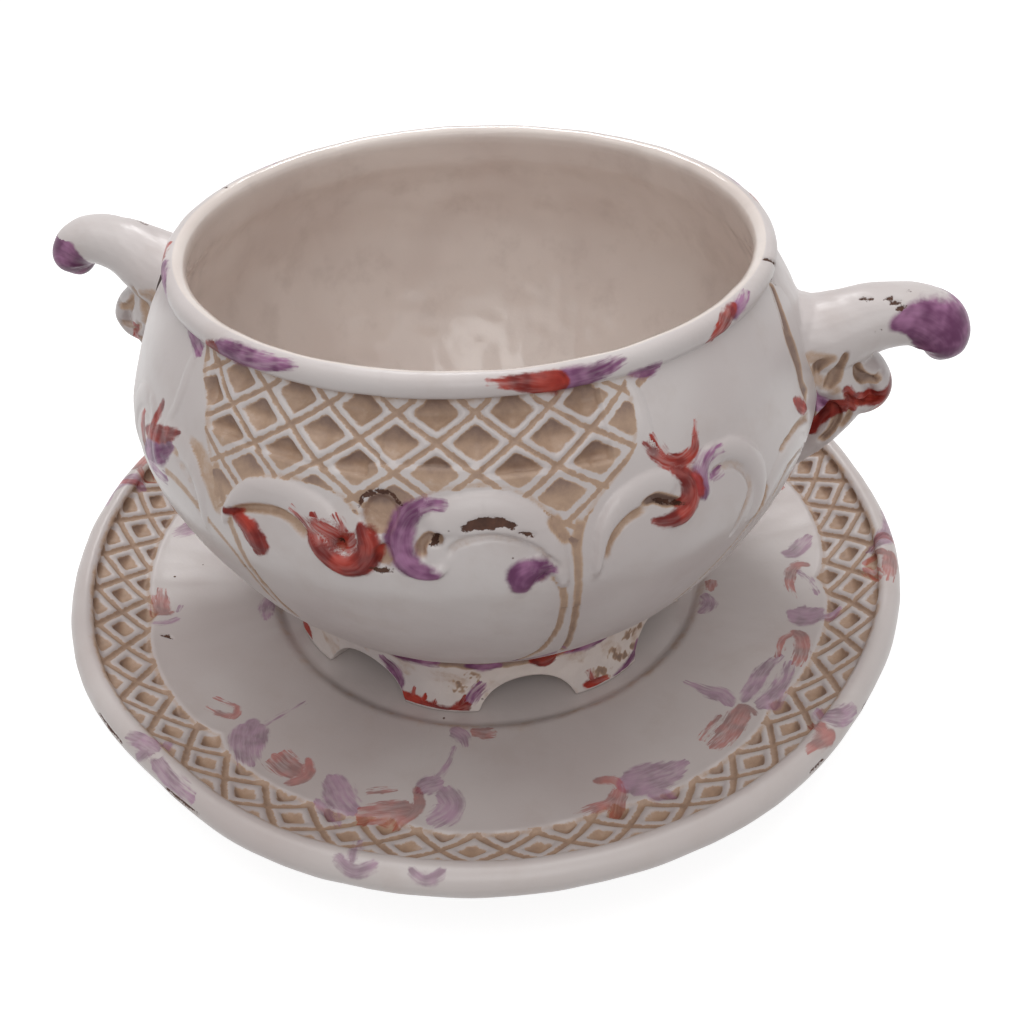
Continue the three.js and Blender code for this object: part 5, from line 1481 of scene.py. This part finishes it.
class CACHEPOT_OT_saucer(bpy.types.Operator):
    """Build the saucer with its carved border and rolled rim"""
    bl_idname = "cachepot.saucer"
    bl_label = "Saucer"

    def execute(self, context):
        shape, glaze = context.scene.cachepot_shape, context.scene.cachepot_glaze
        columns = shape.saucer_columns
        stretches = saucer_outline()
        relief = saucer_relief(stretches[1], angles(columns))
        piece = carved_piece("carved_saucer", stretches, columns, relief, 0.0, BASE_RING_DEPTH, WELL_FLOOR)
        points = np.empty(len(piece.data.vertices) * 3, np.float32)
        piece.data.vertices.foreach_get("co", points)
        bent = dipped(points.reshape(-1, 3).astype(float) / MM) * MM
        piece.data.vertices.foreach_set("co", bent.astype(np.float32).ravel())
        piece.data.update()
        dress(piece, "saucer", "saucer",
              (glaze_material("saucer glaze", glaze, glaze.outside_roughness, glaze.saucer_light,
                              glaze.saucer_shade, SAUCER_BODY),))
        return {"FINISHED"}


class CACHEPOT_OT_handles(bpy.types.Operator):
    """Build both scroll handles"""
    bl_idname = "cachepot.handles"
    bl_label = "Handles"

    def execute(self, context):
        shape, glaze = context.scene.cachepot_shape, context.scene.cachepot_glaze
        material = glaze_material("handle glaze", glaze, glaze.outside_roughness, glaze.glaze_light,
                                  glaze.glaze_shade)
        right = make_handle("scroll_handle_right", RIGHT_STROKES, shape.handle_voxel)
        left = make_handle("scroll_handle_left", LEFT_STROKES, shape.handle_voxel,
                           turn=math.degrees(shape.left_turn), rise=shape.left_rise / MM,
                           lift=shape.left_lift / MM, carving=LEFT_CARVING)
        dress(right, "pot", "handle_right", (material,))
        dress(left, "pot", "handle_left", (material,))
        return {"FINISHED"}


class CACHEPOT_OT_stage(bpy.types.Operator):
    """Set up the floor, the soft lamps and the camera"""
    bl_idname = "cachepot.stage"
    bl_label = "Stage"

    def execute(self, context):
        scene, stage = context.scene, context.scene.cachepot_stage
        mesh = bpy.data.meshes.new("floor")
        far = FLOOR_REACH
        mesh.from_pydata([(-far, -far, 0), (far, -far, 0), (far, far, 0), (-far, far, 0)], [], [(0, 1, 2, 3)])
        floor = bpy.data.objects.new("floor", mesh)
        scene.collection.objects.link(floor)
        floor.location.z = -FLOOR_DROP
        mesh.materials.append(backdrop_material("floor", stage.floor_tone, stage.floor_glow))
        for name, place, target, size in LAMPS:
            add_area(name, place, target, size, getattr(stage, name + "_power"))
        world = bpy.data.worlds.new("studio")
        scene.world = world
        world.use_nodes = True
        tree = world.node_tree
        tree.nodes.clear()
        white = wire(tree, "ShaderNodeBackground", {"Color": (1, 1, 1, 1), "Strength": 1.0})
        grey = wire(tree, "ShaderNodeBackground", {"Color": (1, 1, 1, 1), "Strength": stage.ambient})
        mixed = wire(tree, "ShaderNodeMixShader",
                     {0: backdrop_rays(tree), 1: grey.outputs[0], 2: white.outputs[0]})
        wire(tree, "ShaderNodeOutputWorld", {"Surface": mixed.outputs[0]})
        scene.view_settings.view_transform = "Standard"
        camera = bpy.data.objects.new("camera", bpy.data.cameras.new("camera"))
        scene.collection.objects.link(camera)
        camera.data.lens, camera.data.sensor_width = LENS, SENSOR
        camera.data.clip_start, camera.data.clip_end = 0.01, 20
        camera.location = CAMERA_PLACE
        camera.rotation_euler = Euler([math.radians(turn) for turn in CAMERA_TURN])
        scene.camera = camera
        return {"FINISHED"}


class CACHEPOT_PT_panel(bpy.types.Panel):
    """Builders and settings of the cache pot"""
    bl_idname = "CACHEPOT_PT_panel"
    bl_label = "Cache Pot"
    bl_space_type = "VIEW_3D"
    bl_region_type = "UI"
    bl_category = "Cache Pot"

    def draw(self, context):
        for operator in OPERATORS:
            self.layout.operator(operator.bl_idname)
        for group in SETTINGS:
            column = self.layout.column()
            values = getattr(context.scene, group)
            for key in SETTINGS[group].__annotations__:
                column.prop(values, key)


OPERATORS = (CACHEPOT_OT_bowl, CACHEPOT_OT_foot_ring, CACHEPOT_OT_saucer, CACHEPOT_OT_handles,
             CACHEPOT_OT_stage)
SETTINGS = {"cachepot_glaze": CachePotGlaze, "cachepot_shape": CachePotShape, "cachepot_stage": CachePotStage}


def register():
    for group in SETTINGS.values():
        bpy.utils.register_class(group)
    for name, group in SETTINGS.items():
        setattr(bpy.types.Scene, name, bpy.props.PointerProperty(type=group))
    for panel_class in OPERATORS + (CACHEPOT_PT_panel,):
        bpy.utils.register_class(panel_class)


def unregister():
    for panel_class in reversed(OPERATORS + (CACHEPOT_PT_panel,)):
        bpy.utils.unregister_class(panel_class)
    for name in SETTINGS:
        delattr(bpy.types.Scene, name)
    for group in reversed(SETTINGS.values()):
        bpy.utils.unregister_class(group)


def main():
    register()
    bpy.ops.cachepot.bowl()
    bpy.ops.cachepot.foot_ring()
    bpy.ops.cachepot.saucer()
    bpy.ops.cachepot.handles()
    bpy.ops.cachepot.stage()


if __name__ == "__main__":
    main()
